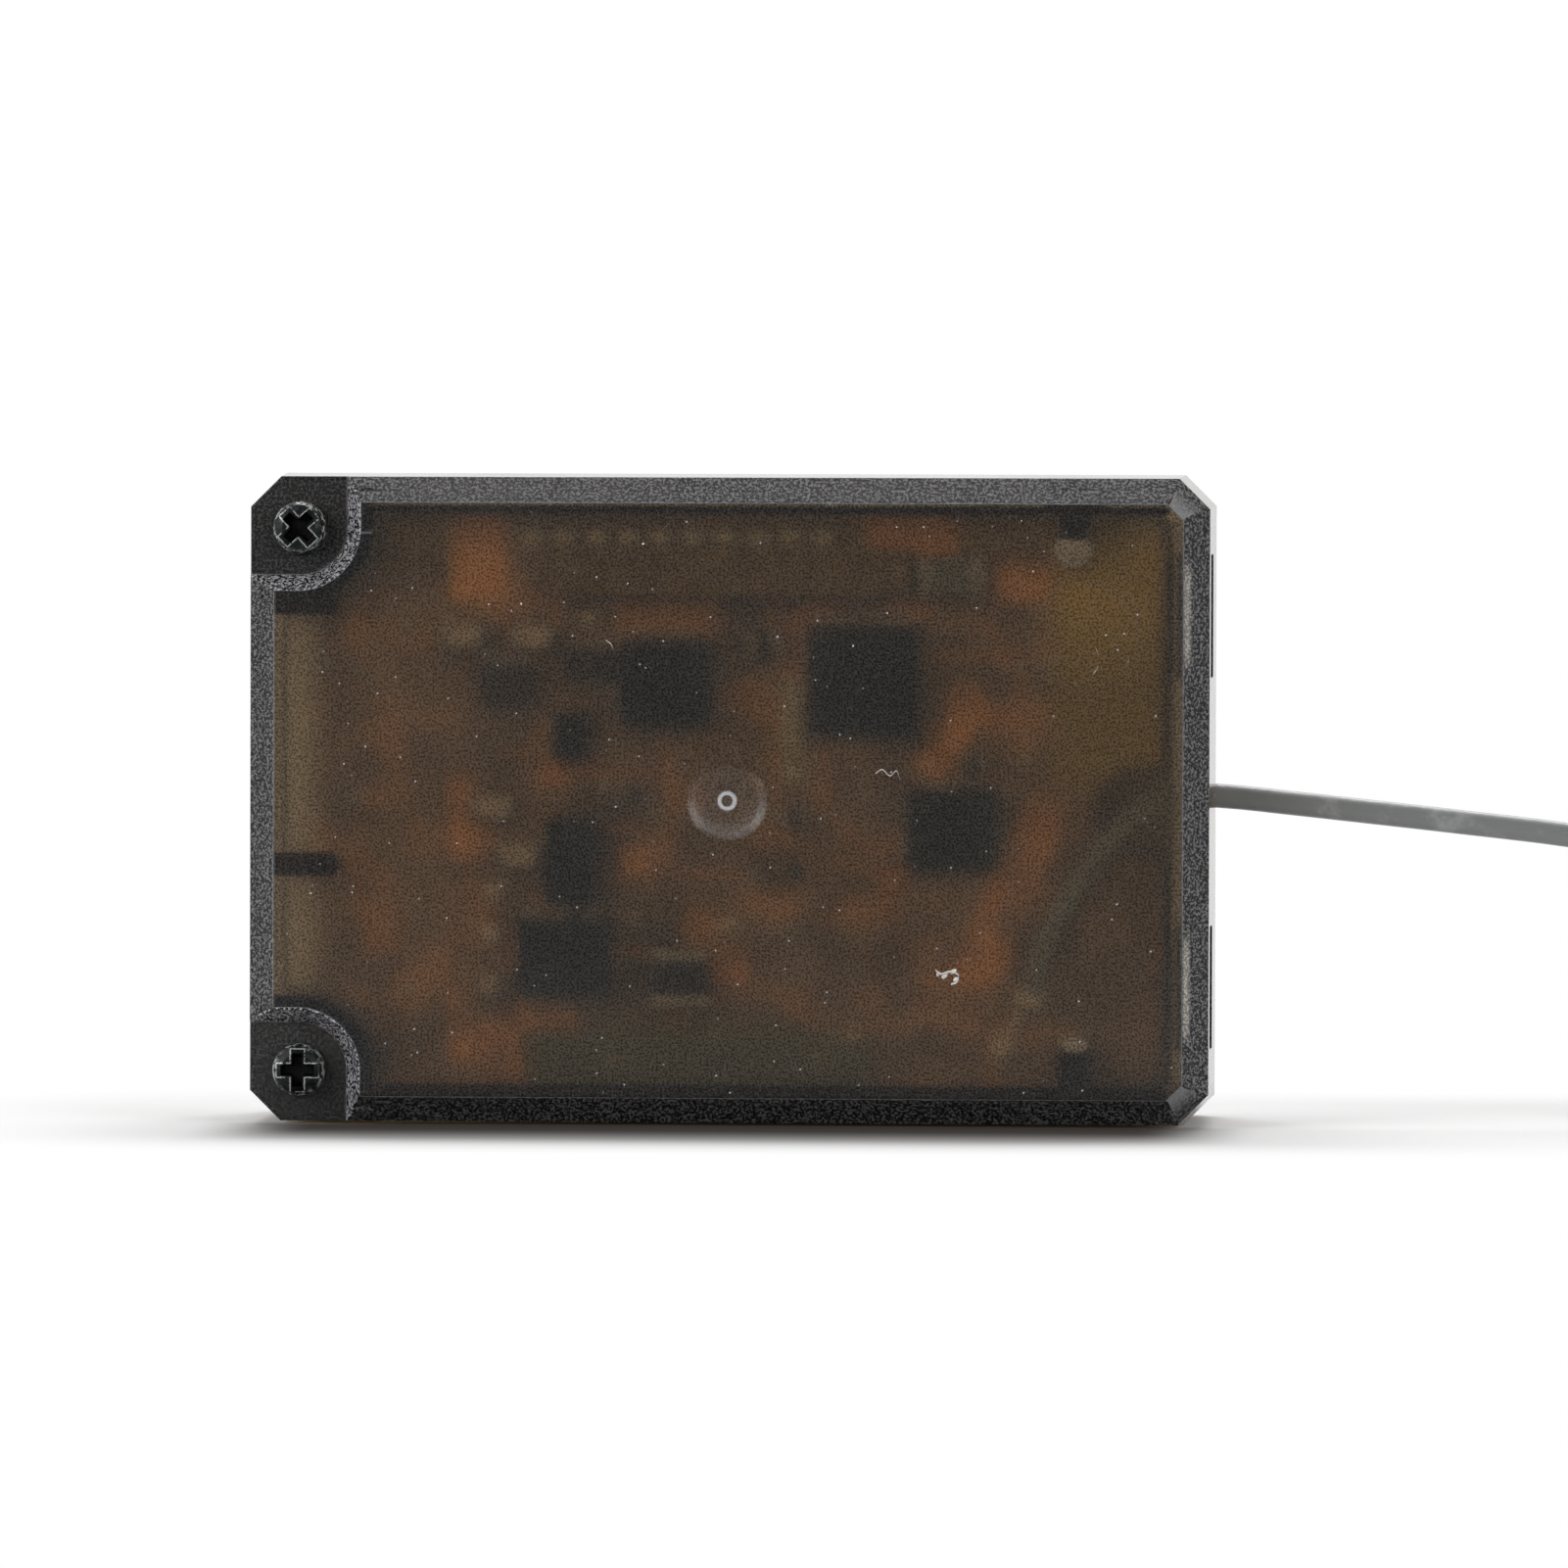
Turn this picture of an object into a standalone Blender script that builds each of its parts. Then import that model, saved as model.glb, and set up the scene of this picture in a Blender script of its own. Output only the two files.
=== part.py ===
"""Radio control receiver, standing on one long side.

A two-part smoky case, held by two screws at the left end and two snap tabs at the
right end, holds a circuit board with its components, a five-port pin header that
opens through the far face, and a coaxial antenna wire that leaves the right end.

Units are metres. X runs along the case towards the antenna, Y from the bottom lid
(low Y) to the port face (high Y), and Z up. The case rests on the plane z = 0.
"""

import math

import bmesh
import bpy
from mathutils import Matrix, Vector

# Case
CASE_LENGTH = 0.0378
CASE_HEIGHT = 0.0255
CASE_DEPTH = 0.0134
CASE_WALL = 0.0010
CORNER_CHAMFER = 0.00120
PARTING_GAP = 0.00010
BLOCK_CHAMFER = 0.00102
ON_PLANE = 0.0000001

# Bottom shell, whose flat lid faces the viewer
BOTTOM_DEPTH = 0.0050
BOTTOM_DRAFT = 0.00020
BOTTOM_RIM_BEVEL = 0.0010
GATE_RADIUS = 0.00155
GATE_DEPTH = 0.00018
GATE_NUB_RADIUS = 0.00036
GATE_NUB_HEIGHT = 0.00012
GATE_EYE_RADIUS = 0.00016
GATE_FLARE = 0.18
EJECTOR_RADIUS = 0.0021
EJECTOR_DEPTH = 0.00006
EJECTOR_PLACES = ((-0.3431, 0.7541), (0.3677, 0.7541), (0.3677, 0.2463))

# Top shell, with the port opening
TOP_DRAFT = 0.00025
TOP_RIM_BEVEL = 0.0008
SKIRT_WALL = 0.0008
KEY_WIDTH = 0.0011
KEY_DEPTH = 0.00045
CLAMP_WIDTH = 0.0009
CLAMP_REACH = 0.0008
CLAMP_PLACES = (-0.1455, 0.1984)
CLAMP_FOOT_WIDTH = 0.0006

# Case screws and the stepped corner pockets that they sit in
SCREW_INSET_X = 0.00210
SCREW_INSET_Z = 0.00215
SCREW_DIAMETER = 0.0012
SCREW_LENGTH = 0.0085
SCREW_TIP = 0.0009
SCREW_HEAD_DIAMETER = 0.00206
SCREW_HEAD_HEIGHT = 0.00085
SCREW_TURN_UPPER = math.radians(42)
SCREW_TURN_LOWER = 0.0
RECESS_SPAN = 0.00162
RECESS_ARM = 0.00050
RECESS_DEPTH = 0.00055
RECESS_FILLET = 0.00012
RECESS_TAPER = 0.62
POCKET_DEPTH = 0.0012
POCKET_FLOOR_REACH = 0.00180
POCKET_RIM_REACH = 0.00240
POCKET_WALL = 0.00050
POCKET_OVERRUN = 0.0003
POCKET_ROUNDING = 8
SCREW_CLEARANCE = 0.00015
PILOT_CLEARANCE = 0.00006

# Ribs inside the bottom shell
LOCATING_RIB_WIDTH = 0.0011
LOCATING_RIB_INSET = 0.0054
LOCATING_RIB_UPPER_REACH = 0.0014
LOCATING_RIB_LOWER_REACH = 0.0019
SUPPORT_RIB_REACH = 0.00265
SUPPORT_RIB_WIDTH = 0.00088
SUPPORT_RIB_LEVELS = (0.3996, 0.8000)
FOOT_WIDTH = 0.0024
FOOT_REACH = 0.0005
RIB_END_ROUNDING = 0.46

# Snap tabs and their windows in the right end wall
WINDOW_SPREAD = 0.00725
WINDOW_WIDTH = 0.0048
WINDOW_DEPTH = 0.00140
WINDOW_START = 0.00176
TAB_THICKNESS = 0.0006
TAB_SIDE_CLEARANCE = 0.00010
TAB_END = 0.0016
TAB_ROOT = 0.0030
TAB_ROOT_BLOCK = 0.0027
HOOK_REACH = 0.00060
HOOK_LEAD_IN = 0.00009
HOOK_CLEARANCE = 0.00010

# Circuit board
BOARD_THICKNESS = 0.0010
BOARD_SETBACK = 0.0035
BOARD_EDGE_CLEARANCE = 0.00025
BOARD_END_GAP = 0.0021
BOARD_CORNER = 0.0010
NOTCH_CLEARANCE = 0.00018
NOTCH_UPPER_EXTRA = 0.0012
NOTCH_LOWER_EXTRA = 0.00045
SEAT_GAP = 0.00010

# Port header: rows of three pins, one row for each port
PIN_PITCH = 0.00254
PORT_COUNT = 5
PINS_PER_PORT = 3
PIN_SIDE = 0.00064
PIN_TIP_CHAMFER = 0.00016
PIN_SINK = 0.0009
HEADER_END_CLEARANCE = 0.00034
HEADER_BASE_HEIGHT = 0.0025
HEADER_BASE_CHAMFER = 0.00025
PIN_HOLE_CLEARANCE = 0.00010
PORT_CLEARANCE = 0.00022

# Components on the lid side of the board: centre x, centre z, width and height, as
# shares of the case so that the layout follows it, and then the thickness
PROCESSOR = (0.1370, 0.6824, 0.1164, 0.1725, 0.0009)
RADIO = (-0.0680, 0.6773, 0.0979, 0.1373, 0.0009)
FRONT_END = (0.2294, 0.4549, 0.0926, 0.1255, 0.0008)
REGULATOR = (-0.1746, 0.2549, 0.0979, 0.1255, 0.0014)
TANTALUM = (-0.1651, 0.4039, 0.0529, 0.1333, 0.0015)
TRANSISTOR = (-0.1667, 0.5961, 0.0370, 0.0784, 0.0009)
INDUCTOR = (-0.0511, 0.2255, 0.0582, 0.0863, 0.0012)
MODULE_HEADER = (0.0005, 0.8490, 0.3704, 0.0745, 0.0012)
CRYSTAL = (0.2275, 0.8431, 0.0688, 0.0627, 0.0008)
DRIVER = (-0.2328, 0.6745, 0.0582, 0.0627, 0.0009)
SWITCH = (-0.1481, 0.7059, 0.0476, 0.0471, 0.0006)
DIODE = (0.0344, 0.7373, 0.0344, 0.0431, 0.0006)
CERAMIC_PLACES = ((-0.2791, 0.7490), (-0.2063, 0.7490), (-0.2487, 0.4863), (-0.2196, 0.4118))
CERAMIC_SIZE = (0.0423, 0.0353, 0.0008)
RESISTOR_PLACES = ((0.0661, 0.4706), (0.0661, 0.3922), (0.2513, 0.5569), (-0.1005, 0.5098))
RESISTOR_SIZE = (0.0265, 0.0235, 0.0004)
PART_STANDOFF = 0.00006
PART_CHAMFER = 0.00008

# Components on the far side of the board, placed and sized in the same way
CAPACITOR_PLACE = (0.0794, 0.2745)
CAPACITOR_RADIUS = 0.0020
CAPACITOR_HEIGHT = 0.0053
LED = (0.3704, 0.7451, 0.0423, 0.0314, 0.0007)
INTERFACE_CHIP = (0.1587, 0.6667, 0.1323, 0.1725, 0.0012)

# Antenna: a thin coaxial wire from the lid side of the board to the end wall
COAX_DIAMETER = 0.00095
CORE_DIAMETER = 0.00034
EXIT_LEVEL = 0.50745
EXIT_SETBACK = 0.00080
EXIT_CLEARANCE = 0.00012
COAX_NOTCH_BELOW = 0.00254
COAX_NOTCH_ABOVE = 0.00126
COAX_NOTCH_DEPTH = 0.0026
COAX_RIDE = 0.00058
CORD_GAP = 0.00020
CORD_START_INSET = 0.00045

# Inner coax: distance in from the end, share of the way from the board to the exit
# across the case, and share of the exit's height
COAX_ROUTE = (
    (0.00710, 0.0000, 0.3980),
    (0.00650, 0.0000, 0.5641),
    (0.00560, 0.0000, 0.6955),
    (0.00450, 0.0067, 0.8269),
    (0.00350, 0.0940, 0.9119),
    (0.00270, 0.4295, 0.9621),
    (0.00200, 0.7819, 0.9892),
    (0.00140, 0.9497, 0.9985),
)

# Bared core: distance in from the end, height over the board, and share of the exit's height
CORE_ROUTE = (
    (0.00745, 0.00032, 0.3400),
    (0.00780, 0.00028, 0.2898),
    (0.00815, 0.00022, 0.2473),
)

# Free wire: distance out from the end, distance across from the exit, and share of the
# exit's height
LEAD_ROUTE = (
    (0.00216, -0.00005, 0.9830),
    (0.00610, 0.00002, 0.9505),
    (0.01010, 0.00010, 0.9165),
    (0.01380, 0.00018, 0.8825),
    (0.01810, 0.00026, 0.8269),
    (0.02110, 0.00034, 0.7651),
)
COIL_REACH = 0.0226
COIL_ASIDE = 0.0058
COIL_RADIUS = 0.0055
COIL_HALF_WIDTH = 0.00108
COIL_TOP = 0.00215
DROP_TURN = math.radians(205)
DROP_START = math.radians(-80)
DROP_LEVEL = 0.7303
DROP_POINTS = 9

# Values that follow from those above
HALF_LENGTH = CASE_LENGTH / 2
HALF_HEIGHT = CASE_HEIGHT / 2
MID_Z = HALF_HEIGHT
LID_Y = -CASE_DEPTH / 2
FAR_Y = CASE_DEPTH / 2
PARTING_Y = LID_Y + BOTTOM_DEPTH
TOP_RIM_Y = PARTING_Y + PARTING_GAP
BOARD_NEAR_Y = LID_Y + BOARD_SETBACK
BOARD_FAR_Y = BOARD_NEAR_Y + BOARD_THICKNESS
SCREW_X = -HALF_LENGTH + SCREW_INSET_X
SCREW_LEVELS = ((SCREW_INSET_Z, -1), (CASE_HEIGHT - SCREW_INSET_Z, 1))
POCKET_Y = LID_Y + POCKET_DEPTH
BLOCK_REACH = POCKET_RIM_REACH + POCKET_WALL
INNER_LENGTH = HALF_LENGTH - CASE_WALL
BOARD_RIGHT_EDGE = HALF_LENGTH - BOARD_END_GAP
LOCATING_RIB_X = HALF_LENGTH - LOCATING_RIB_INSET
INNER_HEIGHT = HALF_HEIGHT - CASE_WALL
EXIT_Y = TOP_RIM_Y + EXIT_SETBACK
EXIT_Z = CASE_HEIGHT * EXIT_LEVEL
COAX_LOW_Y = BOARD_NEAR_Y - COAX_RIDE
COIL_X = HALF_LENGTH + COIL_REACH
COIL_Y = EXIT_Y + COIL_ASIDE
DROP_HIGH = EXIT_Z * DROP_LEVEL
HEADER_BASE_Y = BOARD_FAR_Y + SEAT_GAP
HEADER_TOP_Y = HEADER_BASE_Y + HEADER_BASE_HEIGHT
HEADER_X = (-INNER_LENGTH + TOP_DRAFT + HEADER_END_CLEARANCE
            + PINS_PER_PORT * PIN_PITCH / 2)
PORT_HALF_X = PINS_PER_PORT * PIN_PITCH / 2 + PORT_CLEARANCE
PORT_HALF_Z = PORT_COUNT * PIN_PITCH / 2 + PORT_CLEARANCE
EMBED_BLOCK = CASE_WALL * 0.50
EMBED_LOCATING = CASE_WALL * 0.42
EMBED_SUPPORT = CASE_WALL * 0.34
EMBED_FEET = CASE_WALL * 0.26

PARTS = bpy.data.collections.new("rc_receiver")
CUTTERS = bpy.data.collections.new("cutters")


def clear_scene():
    """Empty the file, so that the model is the only thing in it."""
    for thing in list(bpy.data.objects):
        bpy.data.objects.remove(thing, do_unlink=True)
    for group in (PARTS, CUTTERS):
        bpy.context.scene.collection.children.link(group)


def make_material(name, colour, roughness, metallic=0.0):
    """Return a Principled material of one colour."""
    material = bpy.data.materials.new(name)
    material.use_nodes = True
    shader = material.node_tree.nodes["Principled BSDF"]
    shader.inputs["Base Color"].default_value = (*colour, 1.0)
    shader.inputs["Roughness"].default_value = roughness
    shader.inputs["Metallic"].default_value = metallic
    material.diffuse_color = (*colour, 1.0)
    return material


def new_part(name, mesh, material):
    """Link a mesh or curve as a named part with its own material."""
    part = bpy.data.objects.new(name, mesh)
    part.data.materials.append(material)
    PARTS.objects.link(part)
    return part


def new_cutter(name, mesh):
    """Link a mesh as a tool for a Boolean modifier."""
    cutter = bpy.data.objects.new(name, mesh)
    cutter.hide_render = True
    cutter.display_type = "WIRE"
    CUTTERS.objects.link(cutter)
    return cutter


def finish_mesh(name, bm):
    """Turn a bmesh into a mesh whose faces point outwards."""
    bmesh.ops.recalc_face_normals(bm, faces=bm.faces[:])
    mesh = bpy.data.meshes.new(name)
    bm.to_mesh(mesh)
    bm.free()
    return mesh


def add_box(bm, low, high):
    """Add a box between two corners and return its vertices."""
    size = [b - a for a, b in zip(low, high)]
    centre = [(a + b) / 2 for a, b in zip(low, high)]
    made = bmesh.ops.create_cube(bm, size=1.0)["verts"]
    bmesh.ops.scale(bm, vec=size, verts=made)
    bmesh.ops.translate(bm, vec=centre, verts=made)
    return made


def box_mesh(name, *pairs):
    """Return a mesh of one or more boxes, each given by its two corners."""
    bm = bmesh.new()
    for low, high in pairs:
        add_box(bm, low, high)
    return finish_mesh(name, bm)


def add_post(bm, x, z, low_y, high_y, radius, sides=24):
    """Add a round post whose axis lies along Y."""
    turn = Matrix.Rotation(math.radians(90), 4, "X")
    place = Matrix.Translation((x, (low_y + high_y) / 2, z)) @ turn
    made = bmesh.ops.create_cone(
        bm, cap_ends=True, segments=sides, radius1=radius, radius2=radius,
        depth=high_y - low_y, matrix=place)
    return made["verts"]


def apply_boolean(part, tool, operation):
    """Add a Boolean modifier that joins or cuts with another object."""
    step = part.modifiers.new(f"{operation.lower()} {tool.name}", "BOOLEAN")
    step.operation = operation
    step.object = tool
    step.solver = "EXACT"


def cut(part, tool):
    apply_boolean(part, tool, "DIFFERENCE")


def join(part, tool):
    apply_boolean(part, tool, "UNION")


def edges_along_y(bm):
    """Return the edges that run along Y."""
    picked = []
    for edge in bm.edges:
        run = edge.verts[1].co - edge.verts[0].co
        if abs(run.y) > abs(run.x) + abs(run.z):
            picked.append(edge)
    return picked


def shell_mesh(name, closed_y, open_y, draft_x, draft_z, rim_bevel):
    """Return an open tub with chamfered corners, drafted walls and a bevelled rim.

    The open side keeps the full outline, and the closed side is smaller by the draft.
    """
    bm = bmesh.new()
    low = (-HALF_LENGTH, min(closed_y, open_y), 0.0)
    high = (HALF_LENGTH, max(closed_y, open_y), CASE_HEIGHT)
    add_box(bm, low, high)
    bmesh.ops.bevel(bm, geom=edges_along_y(bm), offset=CORNER_CHAMFER, segments=1,
                    profile=0.5, affect="EDGES", material=-1)
    middle = (closed_y + open_y) / 2
    towards_closed = 1 if closed_y > open_y else -1
    closed = [v for v in bm.verts if (v.co.y - middle) * towards_closed > 0]
    shrink = Matrix.Diagonal((1 - draft_x / HALF_LENGTH, 1.0, 1 - draft_z / HALF_HEIGHT))
    for vertex in closed:
        centred = vertex.co - Vector((0.0, 0.0, MID_Z))
        vertex.co = shrink @ centred + Vector((0.0, 0.0, MID_Z))
    bm.faces.ensure_lookup_table()
    opening = [f for f in bm.faces if all(abs(v.co.y - open_y) < ON_PLANE for v in f.verts)]
    bmesh.ops.delete(bm, geom=opening, context="FACES")
    lid = [f for f in bm.faces if all(abs(v.co.y - closed_y) < ON_PLANE for v in f.verts)]
    bmesh.ops.bevel(bm, geom=list(lid[0].edges), offset=rim_bevel, segments=1,
                    profile=0.5, affect="EDGES", material=-1)
    bmesh.ops.recalc_face_normals(bm, faces=bm.faces[:])
    if lid_points_inwards(bm, closed_y, towards_closed):
        bmesh.ops.reverse_faces(bm, faces=bm.faces[:])
    mesh = bpy.data.meshes.new(name)
    bm.to_mesh(mesh)
    bm.free()
    return mesh


def lid_points_inwards(bm, closed_y, towards_closed):
    """Say whether the closed face of an open tub has its normal on the wrong side."""
    lid = max(bm.faces, key=lambda f: f.calc_area())
    for face in bm.faces:
        if all(abs(v.co.y - closed_y) < ON_PLANE for v in face.verts):
            lid = face
    lid.normal_update()
    return lid.normal.y * towards_closed < 0


def add_wall(part):
    """Give an open tub its wall thickness, on the inside."""
    wall = part.modifiers.new("wall", "SOLIDIFY")
    wall.thickness = CASE_WALL
    wall.offset = -1.0
    wall.use_even_offset = True


def corner_mesh(name, side, reach, outer_reach_x, outer_reach_z, low_y, high_y, chamfer):
    """Return a block round one screw axis with a rounded inner corner.

    side is 1 for the upper screw and -1 for the lower one. reach is the block's reach
    from the axis into the case, and the outer reaches are towards the end and the side.
    """
    bm = bmesh.new()
    axis_z = CASE_HEIGHT - SCREW_INSET_Z if side > 0 else SCREW_INSET_Z
    z_in = axis_z - side * reach
    z_out = axis_z + side * outer_reach_z
    low = (SCREW_X - outer_reach_x, low_y, min(z_in, z_out))
    high = (SCREW_X + reach, high_y, max(z_in, z_out))
    add_box(bm, low, high)
    inner = Vector((SCREW_X + reach, 0.0, z_in))
    outer = Vector((SCREW_X - outer_reach_x, 0.0, z_out))
    for corner, offset, segments in ((inner, reach, POCKET_ROUNDING), (outer, chamfer, 1)):
        if offset <= 0:
            continue
        nearest = min(edges_along_y(bm), key=lambda e: edge_distance(e, corner))
        bmesh.ops.bevel(bm, geom=[nearest], offset=offset, segments=segments,
                        profile=0.5, affect="EDGES", material=-1)
    return bm, Vector((SCREW_X, 0.0, axis_z))


def edge_distance(edge, corner):
    """Return how far an edge along Y lies from a corner of the outline."""
    middle = (edge.verts[0].co + edge.verts[1].co) / 2
    return math.hypot(middle.x - corner.x, middle.z - corner.z)


def pocket_cutter(side):
    """Return the tool for one stepped corner pocket, wider at the lid than at its floor."""
    outside = CORNER_CHAMFER + SCREW_INSET_X
    bm, axis = corner_mesh("pocket", side, POCKET_FLOOR_REACH, outside, outside,
                           LID_Y - POCKET_OVERRUN, POCKET_Y, 0.0)
    slope = (POCKET_RIM_REACH - POCKET_FLOOR_REACH) / POCKET_DEPTH
    mouth_reach = POCKET_FLOOR_REACH + slope * (POCKET_DEPTH + POCKET_OVERRUN)
    widen = mouth_reach / POCKET_FLOOR_REACH
    for vertex in bm.verts:
        if vertex.co.y < LID_Y:
            vertex.co.x = axis.x + (vertex.co.x - axis.x) * widen
            vertex.co.z = axis.z + (vertex.co.z - axis.z) * widen
    return new_cutter(f"pocket {side}", finish_mesh("pocket", bm))


def corner_block(side, low_y, high_y, reach, shell):
    """Return the tool that thickens one screw corner of a shell."""
    inside_x = SCREW_INSET_X - EMBED_BLOCK - max(BOTTOM_DRAFT, TOP_DRAFT) / 2
    inside_z = SCREW_INSET_Z - EMBED_BLOCK - BOTTOM_DRAFT / 2
    bm, _ = corner_mesh("block", side, reach, inside_x, inside_z, low_y, high_y,
                        BLOCK_CHAMFER)
    return new_cutter(f"{shell} block {side}", finish_mesh("block", bm))


def rounded_bar(bm, start, end, width, low_y, high_y):
    """Add a rib with a round end at `end`, seen along Y, and return its vertices."""
    run = Vector((end[0] - start[0], 0.0, end[1] - start[1]))
    length = run.length
    made = add_box(bm, (0.0, low_y, -width / 2), (length, high_y, width / 2))
    tips = [e for e in edges_along_y(bm)
            if e.verts[0] in made and e.verts[0].co.x > length / 2]
    bevelled = bmesh.ops.bevel(bm, geom=tips, offset=width * RIB_END_ROUNDING, segments=4,
                               profile=0.5, affect="EDGES", material=-1)
    angle = math.atan2(run.z, run.x)
    members = {v for v in made if v.is_valid} | set(bevelled["verts"])
    turn = Matrix.Rotation(-angle, 4, "Y")
    place = Matrix.Translation((start[0], 0.0, start[1])) @ turn
    bmesh.ops.transform(bm, matrix=place, verts=list(members))
    return members


def locating_ribs(grow, extra_upper, extra_lower, low_y, high_y, name):
    """Return the two ribs of the long walls, or with grow the notches that clear them."""
    bm = bmesh.new()
    top_wall = MID_Z + INNER_HEIGHT
    low_wall = MID_Z - INNER_HEIGHT
    for wall_z, reach, direction in (
            (top_wall, LOCATING_RIB_UPPER_REACH + extra_upper, -1),
            (low_wall, LOCATING_RIB_LOWER_REACH + extra_lower, 1)):
        start = (LOCATING_RIB_X, wall_z - direction * EMBED_LOCATING)
        end = (LOCATING_RIB_X, wall_z + direction * (reach + grow))
        rounded_bar(bm, start, end, LOCATING_RIB_WIDTH + 2 * grow, low_y, high_y)
    return new_cutter(name, finish_mesh(name, bm))


def support_ribs():
    """Return the ribs of the left end wall that the board lies on."""
    bm = bmesh.new()
    wall_x = -INNER_LENGTH
    for level in (share * CASE_HEIGHT for share in SUPPORT_RIB_LEVELS):
        start = (wall_x - EMBED_SUPPORT, level)
        end = (wall_x + SUPPORT_RIB_REACH, level)
        rounded_bar(bm, start, end, SUPPORT_RIB_WIDTH,
                    LID_Y + CASE_WALL - EMBED_SUPPORT, BOARD_NEAR_Y - SEAT_GAP)
    return new_cutter("support ribs", finish_mesh("support ribs", bm))


def board_feet():
    """Return the low feet beside the locating ribs that carry the board's right end."""
    half = FOOT_WIDTH / 2
    pairs = []
    for wall_z, direction in ((MID_Z + INNER_HEIGHT, -1), (MID_Z - INNER_HEIGHT, 1)):
        ends = sorted((wall_z - direction * EMBED_FEET, wall_z + direction * FOOT_REACH))
        pairs.append(((LOCATING_RIB_X - half, LID_Y + CASE_WALL - EMBED_FEET, ends[0]),
                      (LOCATING_RIB_X + half, BOARD_NEAR_Y - SEAT_GAP, ends[1])))
    return new_cutter("board feet", box_mesh("board feet", *pairs))


def snap_windows():
    """Return the tool for the two windows in the right end wall."""
    low_y = LID_Y + WINDOW_START
    pairs = []
    for side in (-1, 1):
        middle = MID_Z + side * WINDOW_SPREAD
        pairs.append(((INNER_LENGTH - CASE_WALL, low_y, middle - WINDOW_WIDTH / 2),
                      (HALF_LENGTH + CASE_WALL, low_y + WINDOW_DEPTH, middle + WINDOW_WIDTH / 2)))
    return new_cutter("snap windows", box_mesh("snap windows", *pairs))


def gate_mark():
    """Return the tools for the shallow dish at the moulding gate and the nub in it."""
    dish = bmesh.new()
    turn = Matrix.Rotation(math.radians(90), 4, "X")
    place = Matrix.Translation((0.0, LID_Y, MID_Z)) @ turn
    bmesh.ops.create_cone(dish, cap_ends=True, segments=40, radius1=GATE_RADIUS * (1 - GATE_FLARE),
                          radius2=GATE_RADIUS * (1 + GATE_FLARE), depth=2 * GATE_DEPTH,
                          matrix=place)
    nub = bmesh.new()
    add_post(nub, 0.0, MID_Z, LID_Y + GATE_DEPTH - GATE_NUB_HEIGHT,
             LID_Y + CASE_WALL / 2, GATE_NUB_RADIUS, sides=20)
    eye = bmesh.new()
    add_post(eye, 0.0, MID_Z, LID_Y - CASE_WALL, LID_Y + GATE_DEPTH,
             GATE_EYE_RADIUS, sides=12)
    return (new_cutter("gate dish", finish_mesh("gate dish", dish)),
            new_cutter("gate nub", finish_mesh("gate nub", nub)),
            new_cutter("gate eye", finish_mesh("gate eye", eye)))


def ejector_marks():
    """Return the tool for the faint round ejector marks on the lid's inner face."""
    bm = bmesh.new()
    inner_y = LID_Y + CASE_WALL
    for x, z in (on_case(*place) for place in EJECTOR_PLACES):
        add_post(bm, x, z, inner_y - EJECTOR_DEPTH, inner_y + CASE_WALL / 2,
                 EJECTOR_RADIUS, sides=32)
    return new_cutter("ejector marks", finish_mesh("ejector marks", bm))


def screw_holes(radius, low_y, high_y, name):
    """Return the tool for the two holes that the case screws pass through."""
    bm = bmesh.new()
    for level, _ in SCREW_LEVELS:
        add_post(bm, SCREW_X, level, low_y, high_y, radius)
    return new_cutter(name, finish_mesh(name, bm))


def build_bottom_shell(material):
    """The lid half: pockets, ribs, windows and moulding marks."""
    mesh = shell_mesh("bottom_shell", LID_Y, PARTING_Y, BOTTOM_DRAFT, BOTTOM_DRAFT,
                      BOTTOM_RIM_BEVEL)
    shell = new_part("bottom_shell", mesh, material)
    add_wall(shell)
    for _, side in SCREW_LEVELS:
        join(shell, corner_block(side, LID_Y + EMBED_BLOCK, PARTING_Y - PARTING_GAP,
                                 BLOCK_REACH, "bottom"))
        cut(shell, pocket_cutter(side))
    clearance_radius = SCREW_DIAMETER / 2 + SCREW_CLEARANCE
    cut(shell, screw_holes(clearance_radius, LID_Y - CASE_WALL, PARTING_Y + CASE_WALL,
                           "bottom screw holes"))
    join(shell, locating_ribs(0.0, 0.0, 0.0, LID_Y + CASE_WALL - EMBED_LOCATING,
                              BOARD_FAR_Y + SEAT_GAP, "locating ribs"))
    join(shell, support_ribs())
    join(shell, board_feet())
    cut(shell, snap_windows())
    dish, nub, eye = gate_mark()
    cut(shell, dish)
    join(shell, nub)
    cut(shell, eye)
    cut(shell, ejector_marks())
    return shell


def port_skirt():
    """Return the well round the ports, from the far wall down to the header's base."""
    low_y = HEADER_TOP_Y + SEAT_GAP
    high_y = FAR_Y - EMBED_LOCATING
    outer_x = PORT_HALF_X + SKIRT_WALL
    outer_z = PORT_HALF_Z + SKIRT_WALL
    left = max(HEADER_X - outer_x, -HALF_LENGTH + TOP_DRAFT + EMBED_BLOCK)
    pair = ((left, low_y, MID_Z - outer_z), (HEADER_X + outer_x, high_y, MID_Z + outer_z))
    return new_cutter("port skirt", box_mesh("port skirt", pair))


def port_well():
    """Return the tool for the port opening, with a key slot beside each port."""
    low_y = HEADER_TOP_Y - CASE_WALL
    high_y = FAR_Y + CASE_WALL
    pairs = [((HEADER_X - PORT_HALF_X, low_y, MID_Z - PORT_HALF_Z),
              (HEADER_X + PORT_HALF_X, high_y, MID_Z + PORT_HALF_Z))]
    return new_cutter("port well", box_mesh("port well", *pairs))


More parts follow.
